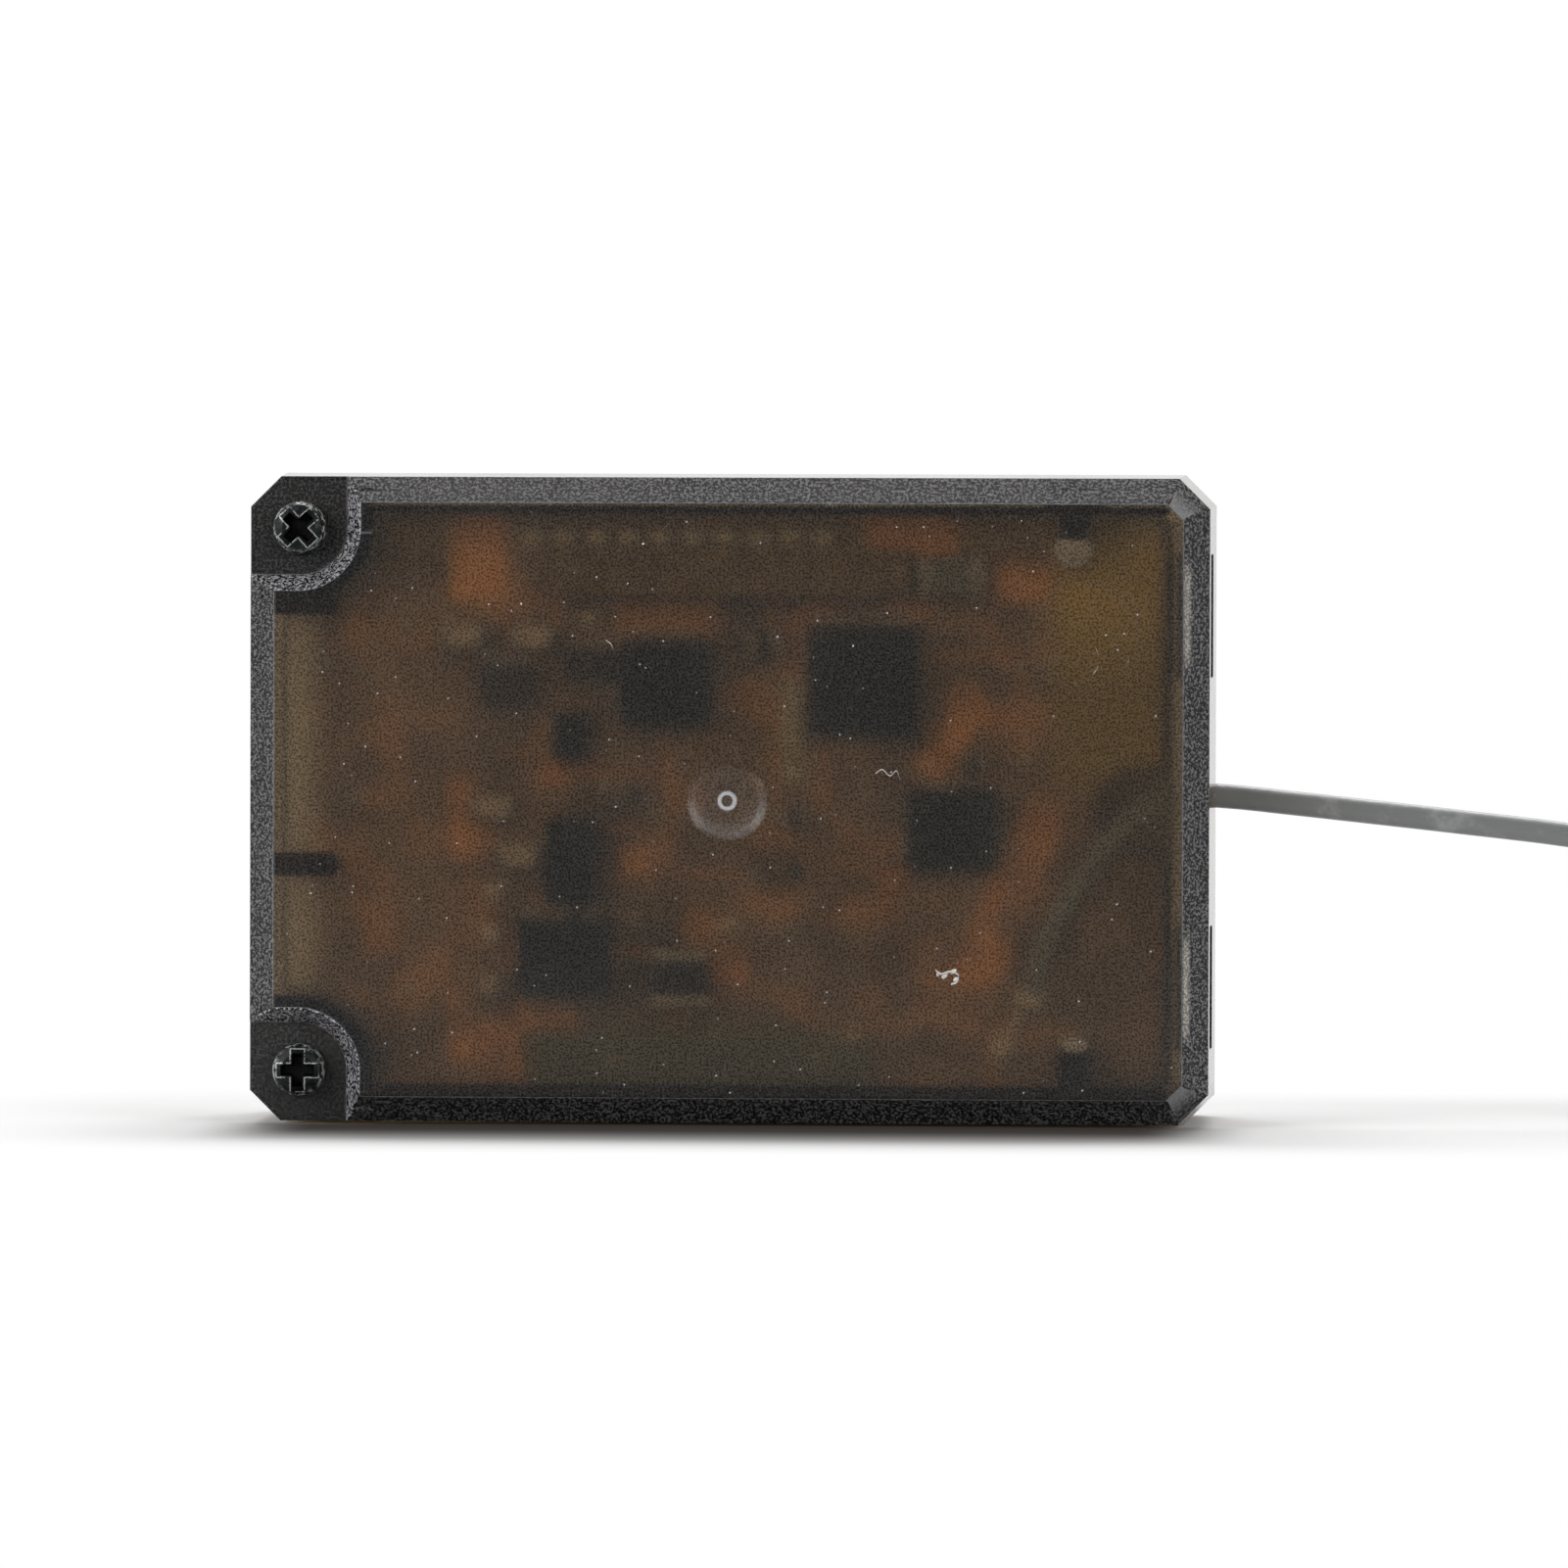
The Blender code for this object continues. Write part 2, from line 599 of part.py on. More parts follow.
def port_keys():
    """Return the tool for the key slots, one for each port, on the side of the board."""
    right = HEADER_X + PORT_HALF_X
    pairs = []
    for level in port_levels():
        pairs.append(((right - KEY_DEPTH, HEADER_TOP_Y + CASE_WALL, level - KEY_WIDTH / 2),
                      (right + KEY_DEPTH, FAR_Y + CASE_WALL, level + KEY_WIDTH / 2)))
    return new_cutter("port keys", box_mesh("port keys", *pairs))


def port_levels():
    """Return the height of each port's middle pin."""
    first = MID_Z - (PORT_COUNT - 1) * PIN_PITCH / 2
    return [first + port * PIN_PITCH for port in range(PORT_COUNT)]


def tab_range(side):
    """Return the heights between which one snap tab lies."""
    middle = MID_Z + side * WINDOW_SPREAD
    half = WINDOW_WIDTH / 2 - TAB_SIDE_CLEARANCE
    return middle - half, middle + half


def snap_tabs():
    """Return the two snap tabs, each with its root on the top shell's end wall."""
    bm = bmesh.new()
    outer = INNER_LENGTH - BOTTOM_DRAFT - HOOK_CLEARANCE
    for side in (-1, 1):
        low_z, high_z = tab_range(side)
        add_box(bm, (outer - TAB_THICKNESS, LID_Y + TAB_END, low_z),
                (outer, TOP_RIM_Y + TAB_ROOT, high_z))
    return new_cutter("snap tabs", finish_mesh("snap tabs", bm))


def tab_roots():
    """Return the blocks that join the tabs to the inside of the end wall."""
    outer = INNER_LENGTH - BOTTOM_DRAFT - HOOK_CLEARANCE
    pairs = []
    for side in (-1, 1):
        low_z, high_z = tab_range(side)
        pairs.append(((outer - TAB_THICKNESS / 2, TOP_RIM_Y + PARTING_GAP, low_z + SEAT_GAP),
                      (INNER_LENGTH + EMBED_BLOCK, TOP_RIM_Y + TAB_ROOT_BLOCK, high_z - SEAT_GAP)))
    return new_cutter("tab roots", box_mesh("tab roots", *pairs))


def snap_hooks():
    """Return the wedges on the tabs that catch in the windows."""
    bm = bmesh.new()
    outer = INNER_LENGTH - BOTTOM_DRAFT - HOOK_CLEARANCE
    low_y = LID_Y + WINDOW_START + HOOK_CLEARANCE
    high_y = LID_Y + WINDOW_START + WINDOW_DEPTH - HOOK_CLEARANCE
    for side in (-1, 1):
        low_z, high_z = tab_range(side)
        made = add_box(bm, (outer - TAB_THICKNESS / 2, low_y, low_z + SEAT_GAP),
                       (outer + HOOK_REACH, high_y, high_z - SEAT_GAP))
        for vertex in made:
            if vertex.co.x > outer and vertex.co.y < (low_y + high_y) / 2:
                vertex.co.x = outer + HOOK_LEAD_IN
    return new_cutter("snap hooks", finish_mesh("snap hooks", bm))


def clamp_ribs():
    """Return the ribs of the top shell that hold the board down on its supports."""
    bm = bmesh.new()
    far_y = FAR_Y - EMBED_BLOCK
    for x in (share * CASE_LENGTH for share in CLAMP_PLACES):
        for side in (-1, 1):
            wall_z = MID_Z + side * INNER_HEIGHT
            inner_z = wall_z - side * CLAMP_REACH
            ends = sorted((wall_z + side * EMBED_BLOCK, inner_z))
            add_box(bm, (x - CLAMP_WIDTH / 2, TOP_RIM_Y + PARTING_GAP, ends[0]),
                    (x + CLAMP_WIDTH / 2, far_y, ends[1]))
    return new_cutter("clamp ribs", finish_mesh("clamp ribs", bm))


def clamp_feet():
    """Return the feet of the clamp ribs, inside the bottom shell's wall."""
    bm = bmesh.new()
    for x in (share * CASE_LENGTH for share in CLAMP_PLACES):
        for side in (-1, 1):
            wall_z = MID_Z + side * (INNER_HEIGHT - BOTTOM_DRAFT - SEAT_GAP)
            inner_z = MID_Z + side * (INNER_HEIGHT - CLAMP_REACH)
            ends = sorted((wall_z, inner_z + side * SEAT_GAP / 2))
            add_box(bm, (x - CLAMP_FOOT_WIDTH / 2, BOARD_FAR_Y + SEAT_GAP, ends[0]),
                    (x + CLAMP_FOOT_WIDTH / 2, TOP_RIM_Y + CASE_WALL, ends[1]))
    return new_cutter("clamp feet", finish_mesh("clamp feet", bm))


def antenna_slot():
    """Return the tool for the round-ended slot that the antenna wire leaves through."""
    radius = COAX_DIAMETER / 2 + EXIT_CLEARANCE
    bm = bmesh.new()
    turn = Matrix.Rotation(math.radians(90), 4, "Y")
    place = Matrix.Translation((HALF_LENGTH, EXIT_Y, EXIT_Z)) @ turn
    bmesh.ops.create_cone(bm, cap_ends=True, segments=24, radius1=radius, radius2=radius,
                          depth=4 * CASE_WALL, matrix=place)
    hole = new_cutter("antenna hole", finish_mesh("antenna hole", bm))
    throat = box_mesh("antenna throat", (
        (HALF_LENGTH - 2 * CASE_WALL, PARTING_Y - CASE_WALL, EXIT_Z - radius * 0.98),
        (HALF_LENGTH + CASE_WALL, EXIT_Y, EXIT_Z + radius * 0.98)))
    return hole, new_cutter("antenna throat", throat)


def build_top_shell(material):
    """The port half: bosses, port well, clamp ribs, snap tabs and the antenna slot."""
    mesh = shell_mesh("top_shell", FAR_Y, TOP_RIM_Y, TOP_DRAFT, 0.0, TOP_RIM_BEVEL)
    shell = new_part("top_shell", mesh, material)
    add_wall(shell)
    for _, side in SCREW_LEVELS:
        join(shell, corner_block(side, TOP_RIM_Y + PARTING_GAP, FAR_Y - EMBED_BLOCK,
                                 POCKET_FLOOR_REACH, "top"))
    join(shell, port_skirt())
    join(shell, clamp_ribs())
    join(shell, clamp_feet())
    join(shell, tab_roots())
    join(shell, snap_tabs())
    join(shell, snap_hooks())
    cut(shell, port_well())
    cut(shell, port_keys())
    pilot_radius = SCREW_DIAMETER / 2 + PILOT_CLEARANCE
    pilot_end = POCKET_Y + SCREW_LENGTH + SCREW_CLEARANCE
    cut(shell, screw_holes(pilot_radius, PARTING_Y - CASE_WALL, pilot_end, "pilot holes"))
    hole, throat = antenna_slot()
    cut(shell, hole)
    cut(shell, throat)
    return shell


def turned_mesh(name, profile):
    """Return an open profile of (radius, height) points, for a Screw modifier about Z."""
    bm = bmesh.new()
    points = [bm.verts.new((radius, 0.0, height)) for radius, height in profile]
    for first, second in zip(points, points[1:]):
        bm.edges.new((first, second))
    mesh = bpy.data.meshes.new(name)
    bm.to_mesh(mesh)
    bm.free()
    return mesh


def add_turning(part, steps):
    """Turn a profile a full circle about Z."""
    turning = part.modifiers.new("turning", "SCREW")
    turning.steps = steps
    turning.render_steps = steps
    turning.use_merge_vertices = True
    turning.merge_threshold = 0.000001
    turning.use_smooth_shade = True


def recess_cutter(name, level, angle):
    """Return the tapered cross of one screw's drive recess, with rounded inner corners."""
    top_y = POCKET_Y - SEAT_GAP - SCREW_HEAD_HEIGHT
    half = RECESS_ARM / 2
    bm = bmesh.new()
    add_box(bm, (-half, top_y - RECESS_ARM, -half), (half, top_y + RECESS_DEPTH, half))
    bm.normal_update()
    for face in [f for f in bm.faces if abs(f.normal.y) < 0.5]:
        reach = face.normal * (RECESS_SPAN - RECESS_ARM) / 2
        grown = bmesh.ops.extrude_face_region(bm, geom=[face])["geom"]
        arm = [item for item in grown if isinstance(item, bmesh.types.BMVert)]
        bmesh.ops.translate(bm, vec=reach, verts=arm)
        bmesh.ops.delete(bm, geom=[face], context="FACES_ONLY")
    inner = [e for e in edges_along_y(bm)
             if max(abs(e.verts[0].co.x), abs(e.verts[0].co.z)) < half * 1.1]
    bmesh.ops.bevel(bm, geom=inner, offset=RECESS_FILLET, segments=2, profile=0.5,
                    affect="EDGES", material=-1)
    for vertex in bm.verts:
        if vertex.co.y > top_y:
            vertex.co.x *= RECESS_TAPER
            vertex.co.z *= RECESS_TAPER
    place = Matrix.Translation((SCREW_X, 0.0, level)) @ Matrix.Rotation(angle, 4, "Y")
    bmesh.ops.transform(bm, matrix=place, verts=bm.verts[:])
    return new_cutter(f"{name} recess", finish_mesh("recess", bm))


def build_case_screw(name, level, angle, material):
    """A pan-head screw with a cross recess and a pointed shank."""
    head = SCREW_HEAD_DIAMETER / 2
    shank = SCREW_DIAMETER / 2
    crown = SCREW_HEAD_HEIGHT
    profile = [
        (0.0, crown),
        (head * 0.62, crown),
        (head * 0.86, crown * 0.90),
        (head * 0.97, crown * 0.66),
        (head, crown * 0.38),
        (head, 0.0),
        (shank, 0.0),
        (shank, -SCREW_LENGTH + SCREW_TIP),
        (0.0, -SCREW_LENGTH),
    ]
    screw = new_part(name, turned_mesh(name, profile), material)
    screw.location = (SCREW_X, POCKET_Y - SEAT_GAP, level)
    screw.rotation_euler = (math.radians(90), 0.0, 0.0)
    add_turning(screw, 24)
    cut(screw, recess_cutter(name, level, angle))
    return screw


def board_corner_cutter(side):
    """Return the tool that clears the bottom shell's screw block from the board."""
    far = CASE_WALL * 3
    clear = BLOCK_REACH + BOARD_EDGE_CLEARANCE
    bm, _ = corner_mesh("board corner", side, clear, SCREW_INSET_X + far, SCREW_INSET_Z + far,
                        BOARD_NEAR_Y - CASE_WALL, BOARD_FAR_Y + CASE_WALL, 0.0)
    return new_cutter(f"board corner {side}", finish_mesh("board corner", bm))


def build_board(material):
    """The circuit board, with its corner cut-outs, rib notches and coax notch."""
    bm = bmesh.new()
    half_z = INNER_HEIGHT - BOTTOM_DRAFT - BOARD_EDGE_CLEARANCE
    left = -INNER_LENGTH + BOTTOM_DRAFT + BOARD_EDGE_CLEARANCE
    add_box(bm, (left, BOARD_NEAR_Y, MID_Z - half_z), (BOARD_RIGHT_EDGE, BOARD_FAR_Y, MID_Z + half_z))
    right_corners = [e for e in edges_along_y(bm) if e.verts[0].co.x > 0]
    bmesh.ops.bevel(bm, geom=right_corners, offset=BOARD_CORNER, segments=1, profile=0.5,
                    affect="EDGES", material=-1)
    board = new_part("circuit_board", finish_mesh("circuit_board", bm), material)
    for _, side in SCREW_LEVELS:
        cut(board, board_corner_cutter(side))
    cut(board, locating_ribs(NOTCH_CLEARANCE, NOTCH_UPPER_EXTRA, NOTCH_LOWER_EXTRA,
                             BOARD_NEAR_Y - CASE_WALL, BOARD_FAR_Y + CASE_WALL, "rib notches"))
    notch = bmesh.new()
    notch_height = COAX_NOTCH_BELOW + COAX_NOTCH_ABOVE
    middle = EXIT_Z - COAX_NOTCH_BELOW + notch_height / 2
    rounded_bar(notch, (BOARD_RIGHT_EDGE + CASE_WALL, middle),
                (BOARD_RIGHT_EDGE - COAX_NOTCH_DEPTH, middle),
                notch_height, BOARD_NEAR_Y - CASE_WALL, BOARD_FAR_Y + CASE_WALL)
    cut(board, new_cutter("coax notch", finish_mesh("coax notch", notch)))
    return board


def pin_places():
    """Yield each pin's name, x and z, port by port from the floor up."""
    roles = ("signal", "plus", "minus")
    for port, level in enumerate(port_levels(), start=1):
        for row in range(PINS_PER_PORT):
            x = HEADER_X + (1 - row) * PIN_PITCH
            yield f"port_pin_{port}_{roles[row]}", x, level


def build_header(base_material, pin_material):
    """The header's moulded base and its fifteen square pins."""
    half_x = PINS_PER_PORT * PIN_PITCH / 2
    half_z = PORT_COUNT * PIN_PITCH / 2
    bm = bmesh.new()
    add_box(bm, (HEADER_X - half_x, HEADER_BASE_Y, MID_Z - half_z),
            (HEADER_X + half_x, HEADER_TOP_Y, MID_Z + half_z))
    top = [e for e in bm.edges if all(v.co.y > HEADER_BASE_Y + SEAT_GAP for v in e.verts)]
    bmesh.ops.bevel(bm, geom=top, offset=HEADER_BASE_CHAMFER, segments=1, profile=0.5,
                    affect="EDGES", material=-1)
    base = new_part("port_header_base", finish_mesh("port_header_base", bm), base_material)
    holes = bmesh.new()
    hole = PIN_SIDE / 2 + PIN_HOLE_CLEARANCE
    for _, x, z in pin_places():
        add_box(holes, (x - hole, HEADER_BASE_Y - CASE_WALL, z - hole),
                (x + hole, HEADER_TOP_Y + CASE_WALL, z + hole))
    cut(base, new_cutter("pin holes", finish_mesh("pin holes", holes)))
    half = PIN_SIDE / 2
    for name, x, z in pin_places():
        pin = bmesh.new()
        add_box(pin, (-half, 0.0, -half), (half, FAR_Y - PIN_SINK - HEADER_BASE_Y, half))
        tips = [e for e in pin.edges if all(v.co.y > HEADER_BASE_HEIGHT for v in e.verts)]
        bmesh.ops.bevel(pin, geom=tips, offset=PIN_TIP_CHAMFER, segments=1, profile=0.5,
                        affect="EDGES", material=-1)
        part = new_part(name, finish_mesh(name, pin), pin_material)
        part.location = (x, HEADER_BASE_Y, z)


def on_case(*shares):
    """Turn shares of the case into metres: along X and Z in turn."""
    return [share * (CASE_HEIGHT if place % 2 else CASE_LENGTH)
            for place, share in enumerate(shares)]


def build_component(name, spec, material, far_side=False, draft=1.0, corner=0.0):
    """A component body that stands just clear of the board, with chamfered top edges."""
    x, z, width, height = on_case(*spec[:4])
    thick = spec[4]
    bm = bmesh.new()
    add_box(bm, (-width / 2, 0.0, -height / 2), (width / 2, thick, height / 2))
    if corner > 0:
        bmesh.ops.bevel(bm, geom=edges_along_y(bm), offset=corner, segments=3, profile=0.5,
                        affect="EDGES", material=-1)
    raised = [v for v in bm.verts if v.co.y > thick / 2]
    bmesh.ops.scale(bm, vec=(draft, 1.0, draft), verts=raised)
    top = [e for e in bm.edges if all(v.co.y > thick / 2 for v in e.verts)]
    bmesh.ops.bevel(bm, geom=top, offset=PART_CHAMFER, segments=1, profile=0.5,
                    affect="EDGES", material=-1)
    part = new_part(name, finish_mesh(name, bm), material)
    if far_side:
        part.location = (x, BOARD_FAR_Y + PART_STANDOFF, z)
    else:
        part.rotation_euler = (math.radians(180), 0.0, 0.0)
        part.location = (x, BOARD_NEAR_Y - PART_STANDOFF, z)
    return part


def build_components(materials):
    """All the components that stand on the board."""
    build_component("processor_chip", PROCESSOR, materials["epoxy"])
    build_component("radio_chip", RADIO, materials["epoxy"], corner=0.0007)
    build_component("front_end_chip", FRONT_END, materials["epoxy"])
    build_component("voltage_regulator", REGULATOR, materials["epoxy"], draft=0.92)
    build_component("tantalum_capacitor", TANTALUM, materials["tantalum"], draft=0.95)
    build_component("output_transistor", TRANSISTOR, materials["epoxy"], draft=0.92)
    build_component("power_inductor", INDUCTOR, materials["ferrite"], corner=0.0005)
    build_component("module_header", MODULE_HEADER, materials["header"])
    build_component("crystal_can", CRYSTAL, materials["can"], corner=0.0003)
    build_component("servo_driver", DRIVER, materials["epoxy"], draft=0.95)
    build_component("antenna_switch", SWITCH, materials["epoxy"])
    build_component("clamp_diode", DIODE, materials["epoxy"], draft=0.92)
    for index, (x, z) in enumerate(CERAMIC_PLACES, start=1):
        build_component(f"ceramic_capacitor_{index}", (x, z, *CERAMIC_SIZE), materials["ceramic"])
    for index, (x, z) in enumerate(RESISTOR_PLACES, start=1):
        build_component(f"chip_resistor_{index}", (x, z, *RESISTOR_SIZE), materials["resistor"])
    build_component("status_led", LED, materials["led"], far_side=True, draft=0.9)
    build_component("interface_chip", INTERFACE_CHIP, materials["epoxy"], far_side=True,
                    draft=0.96)


def build_bulk_capacitor(material):
    """An aluminium can capacitor that stands on the far side of the board."""
    radius = CAPACITOR_RADIUS
    height = CAPACITOR_HEIGHT
    profile = [
        (0.0, height),
        (radius * 0.86, height),
        (radius, height * 0.965),
        (radius, height * 0.36),
        (radius * 0.93, height * 0.31),
        (radius * 0.93, height * 0.27),
        (radius, height * 0.22),
        (radius, 0.0),
        (0.0, 0.0),
    ]
    can = new_part("bulk_capacitor", turned_mesh("bulk_capacitor", profile), material)
    x, z = on_case(*CAPACITOR_PLACE)
    can.location = (x, BOARD_FAR_Y + SEAT_GAP, z)
    can.rotation_euler = (math.radians(-90), 0.0, 0.0)
    add_turning(can, 28)
    return can


def smooth_route(points, spacing):
    """Return points read from a smooth curve through a route, about `spacing` apart."""
    route = [Vector(p) for p in points]
    first = route[0] * 2 - route[1]
    last = route[-1] * 2 - route[-2]
    padded = [first] + route + [last]
    smooth = [route[0]]
    for before, start, end, after in zip(padded, padded[1:], padded[2:], padded[3:]):
        steps = max(1, round((end - start).length / spacing))
        for step in range(1, steps + 1):
            smooth.append(catmull_rom(before, start, end, after, step / steps))
    return smooth


def catmull_rom(before, start, end, after, t):
    """Return the point at t between start and end on the curve through four points."""
    return 0.5 * (2 * start + (end - before) * t
                  + (2 * before - 5 * start + 4 * end - after) * t ** 2
                  + (3 * start - before - 3 * end + after) * t ** 3)


def wire_part(name, points, diameter, material):
    """A round wire along a list of points, with flat ends."""
    curve = bpy.data.curves.new(name, "CURVE")
    curve.dimensions = "3D"
    curve.bevel_depth = diameter / 2
    curve.bevel_resolution = 2
    curve.use_fill_caps = True
    spline = curve.splines.new("POLY")
    spline.points.add(len(points) - 1)
    for point, place in zip(spline.points, points):
        point.co = (*place, 1.0)
    return new_part(name, curve, material)


def exit_points():
    """Return where the inner wire ends and the free wire starts, inside the end wall."""
    middle = HALF_LENGTH - CORD_START_INSET
    inner_end = (middle - CORD_GAP / 2, EXIT_Y, EXIT_Z)
    lead_start = (middle + CORD_GAP / 2, EXIT_Y, EXIT_Z)
    return inner_end, lead_start


def drop_points():
    """Return the points where the free wire winds down on to its coil."""
    end_z = COIL_TOP + CORD_GAP + COAX_DIAMETER / 2
    points = []
    for step in range(DROP_POINTS):
        share = step / (DROP_POINTS - 1)
        angle = DROP_START + DROP_TURN * share
        ease = share * share * (3 - 2 * share)
        height = DROP_HIGH + (end_z - DROP_HIGH) * ease
        points.append((COIL_X + COIL_RADIUS * math.cos(angle),
                       COIL_Y + COIL_RADIUS * math.sin(angle), height))
    return points


def build_antenna(sheath, core):
    """The coaxial wire inside the case, its bared core, the free wire and its coil."""
    inner_end, lead_start = exit_points()
    coax = [(HALF_LENGTH - inset, COAX_LOW_Y + across * (EXIT_Y - COAX_LOW_Y), EXIT_Z * level)
            for inset, across, level in COAX_ROUTE]
    inner = smooth_route(coax + [inner_end], COAX_DIAMETER * 1.2)
    wire_part("antenna_inner_coax", inner, COAX_DIAMETER, sheath)
    bared = [(HALF_LENGTH - inset, BOARD_NEAR_Y - rise, EXIT_Z * level)
             for inset, rise, level in CORE_ROUTE]
    wire_part("coax_core_wire", smooth_route(bared, CORE_DIAMETER * 1.5), CORE_DIAMETER, core)
    wall_exit = (HALF_LENGTH, EXIT_Y, EXIT_Z)
    free = [(HALF_LENGTH + reach, EXIT_Y + aside, EXIT_Z * level)
            for reach, aside, level in LEAD_ROUTE]
    route = [lead_start, wall_exit] + free + drop_points()
    lead = smooth_route(route, COAX_DIAMETER * 2)
    wire_part("antenna_lead", lead, COAX_DIAMETER, sheath)
    half = COIL_HALF_WIDTH
    top = COIL_TOP
    profile = [
        (COIL_RADIUS + half * 0.60, top),
        (COIL_RADIUS + half, top * 0.72),
        (COIL_RADIUS + half, top * 0.14),
        (COIL_RADIUS + half * 0.80, 0.0),
        (COIL_RADIUS - half * 0.80, 0.0),
        (COIL_RADIUS - half, top * 0.14),
        (COIL_RADIUS - half, top * 0.72),
        (COIL_RADIUS - half * 0.60, top),
        (COIL_RADIUS + half * 0.60, top),
    ]
    ring = new_part("antenna_coil", ring_mesh(profile), sheath)
    ring.location = (COIL_X, COIL_Y, 0.0)
    add_turning(ring, 40)


def ring_mesh(profile):
    """Return a closed outline of (radius, height) points, for a Screw modifier about Z."""
    bm = bmesh.new()
    points = [bm.verts.new((radius, 0.0, height)) for radius, height in profile[:-1]]
    for first, second in zip(points, points[1:] + points[:1]):
        bm.edges.new((first, second))
    mesh = bpy.data.meshes.new("antenna_coil")
    bm.to_mesh(mesh)
    bm.free()
    return mesh


def main():
    clear_scene()
    smoke = make_material("smoky_plastic", (0.055, 0.045, 0.036), 0.45)
    screw_black = make_material("blackened_steel", (0.020, 0.021, 0.022), 0.40, 0.8)
    laminate = make_material("board_laminate", (0.090, 0.075, 0.045), 0.50)
    tin = make_material("gold_plate", (0.70, 0.52, 0.22), 0.30, 1.0)
    sheath = make_material("grey_sheath", (0.105, 0.115, 0.105), 0.50)
    copper = make_material("tinned_copper", (0.62, 0.60, 0.57), 0.35, 1.0)
    components = {
        "epoxy": make_material("black_epoxy", (0.018, 0.020, 0.024), 0.45),
        "tantalum": make_material("tantalum_case", (0.030, 0.028, 0.026), 0.45),
        "ferrite": make_material("ferrite", (0.040, 0.040, 0.042), 0.60),
        "header": make_material("header_plastic", (0.022, 0.022, 0.022), 0.50),
        "can": make_material("nickel_can", (0.55, 0.55, 0.53), 0.30, 1.0),
        "ceramic": make_material("ceramic_body", (0.46, 0.36, 0.26), 0.50),
        "resistor": make_material("resistor_body", (0.030, 0.030, 0.034), 0.40),
        "led": make_material("clear_lens", (0.80, 0.78, 0.70), 0.20),
    }
    aluminium = make_material("aluminium_can", (0.70, 0.70, 0.71), 0.35, 1.0)
    build_bottom_shell(smoke)
    build_top_shell(smoke)
    lower, upper = SCREW_LEVELS
    build_case_screw("case_screw_upper", upper[0], SCREW_TURN_UPPER, screw_black)
    build_case_screw("case_screw_lower", lower[0], SCREW_TURN_LOWER, screw_black)
    build_board(laminate)
    build_header(components["header"], tin)
    build_components(components)
    build_bulk_capacitor(aluminium)
    build_antenna(sheath, copper)


main()
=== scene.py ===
"""Finishes, board details, antenna wire and studio for a small radio control receiver.

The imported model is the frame. Everything is in metres, in the frame's own axes: X runs
towards the antenna, Y from the lid to the port face, and Z up from the floor.
"""

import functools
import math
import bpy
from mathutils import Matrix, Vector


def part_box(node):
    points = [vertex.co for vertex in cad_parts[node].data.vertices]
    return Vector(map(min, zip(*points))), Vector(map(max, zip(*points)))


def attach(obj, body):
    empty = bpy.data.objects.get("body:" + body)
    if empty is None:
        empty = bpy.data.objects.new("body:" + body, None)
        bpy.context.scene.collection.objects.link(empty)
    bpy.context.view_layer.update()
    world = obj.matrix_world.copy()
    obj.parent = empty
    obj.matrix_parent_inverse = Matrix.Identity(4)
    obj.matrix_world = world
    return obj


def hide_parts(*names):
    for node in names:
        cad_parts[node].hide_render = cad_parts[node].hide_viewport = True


bl_info = {
    "name": "RC receiver dressing",
    "version": (1, 0, 0),
    "blender": (4, 5, 0),
    "location": "3D View > Sidebar > Receiver",
    "description": "Finishes, board details, antenna wire and studio for a small receiver",
    "category": "Object",
}

import bmesh
import bpy
from mathutils import Matrix, Vector

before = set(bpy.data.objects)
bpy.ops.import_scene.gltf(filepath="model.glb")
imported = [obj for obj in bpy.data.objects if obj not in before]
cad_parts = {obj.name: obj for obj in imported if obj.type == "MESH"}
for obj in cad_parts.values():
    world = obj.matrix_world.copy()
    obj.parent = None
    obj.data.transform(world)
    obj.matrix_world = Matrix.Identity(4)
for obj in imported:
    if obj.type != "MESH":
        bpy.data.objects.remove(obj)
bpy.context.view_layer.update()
BODY = "root"

MM = 0.001
CASE_LOW, CASE_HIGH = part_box("bottom_shell")
CASE_END = CASE_HIGH.x
CASE_TOP = CASE_HIGH.z
LID_Y = CASE_LOW.y
BOARD_LOW, BOARD_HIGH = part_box("circuit_board")
BOARD_NEAR = BOARD_LOW.y
BOARD_FAR = BOARD_HIGH.y
SCREWS = ("case_screw_upper", "case_screw_lower")
PINS = [name for name in sorted(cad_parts) if name.startswith("port_pin_")]

# Free antenna wire, with the route of the CAD model's own lead
EXIT_Y = -0.80 * MM
EXIT_Z = CASE_TOP * 0.50745
WIRE_START = 0.35 * MM
LEAD_ROUTE = (
    (2.16, -0.05, 0.9830),
    (6.10, 0.02, 0.9505),
    (10.10, 0.10, 0.9165),
    (13.80, 0.18, 0.8825),
    (18.10, 0.26, 0.8269),
    (21.10, 0.34, 0.7651),
)
FLOOR_MIDDLE = 14.5 * MM
FLOOR_REACH = 29.5 * MM
FLOOR_DEPTH = 7.0 * MM
COIL_REACH = 22.6 * MM
COIL_ASIDE = 5.8 * MM
DROP_START = -80.0
DROP_TURN = 205.0
DROP_LEVEL = 0.7303
DROP_END = 2.825 * MM
DROP_STEPS = 8
# Coil after the drop: angle in degrees, distance from the coil's own radius, height
COIL_STAGES = (
    (125.0, 0.00, 2.825),
    (190.0, 0.00, 1.400),
    (400.0, 0.00, 1.400),
    (431.0, 0.00, 1.520),
    (481.0, 0.02, 1.520),
    (506.0, 0.44, 1.080),
    (531.0, 0.53, 0.575),
    (791.0, 0.53, 0.575),
    (841.0, -0.55, 0.575),
    (1200.0, -0.55, 0.575),
)
COIL_STEP = 6.0
WIRE_SPACING = 1.5 * MM
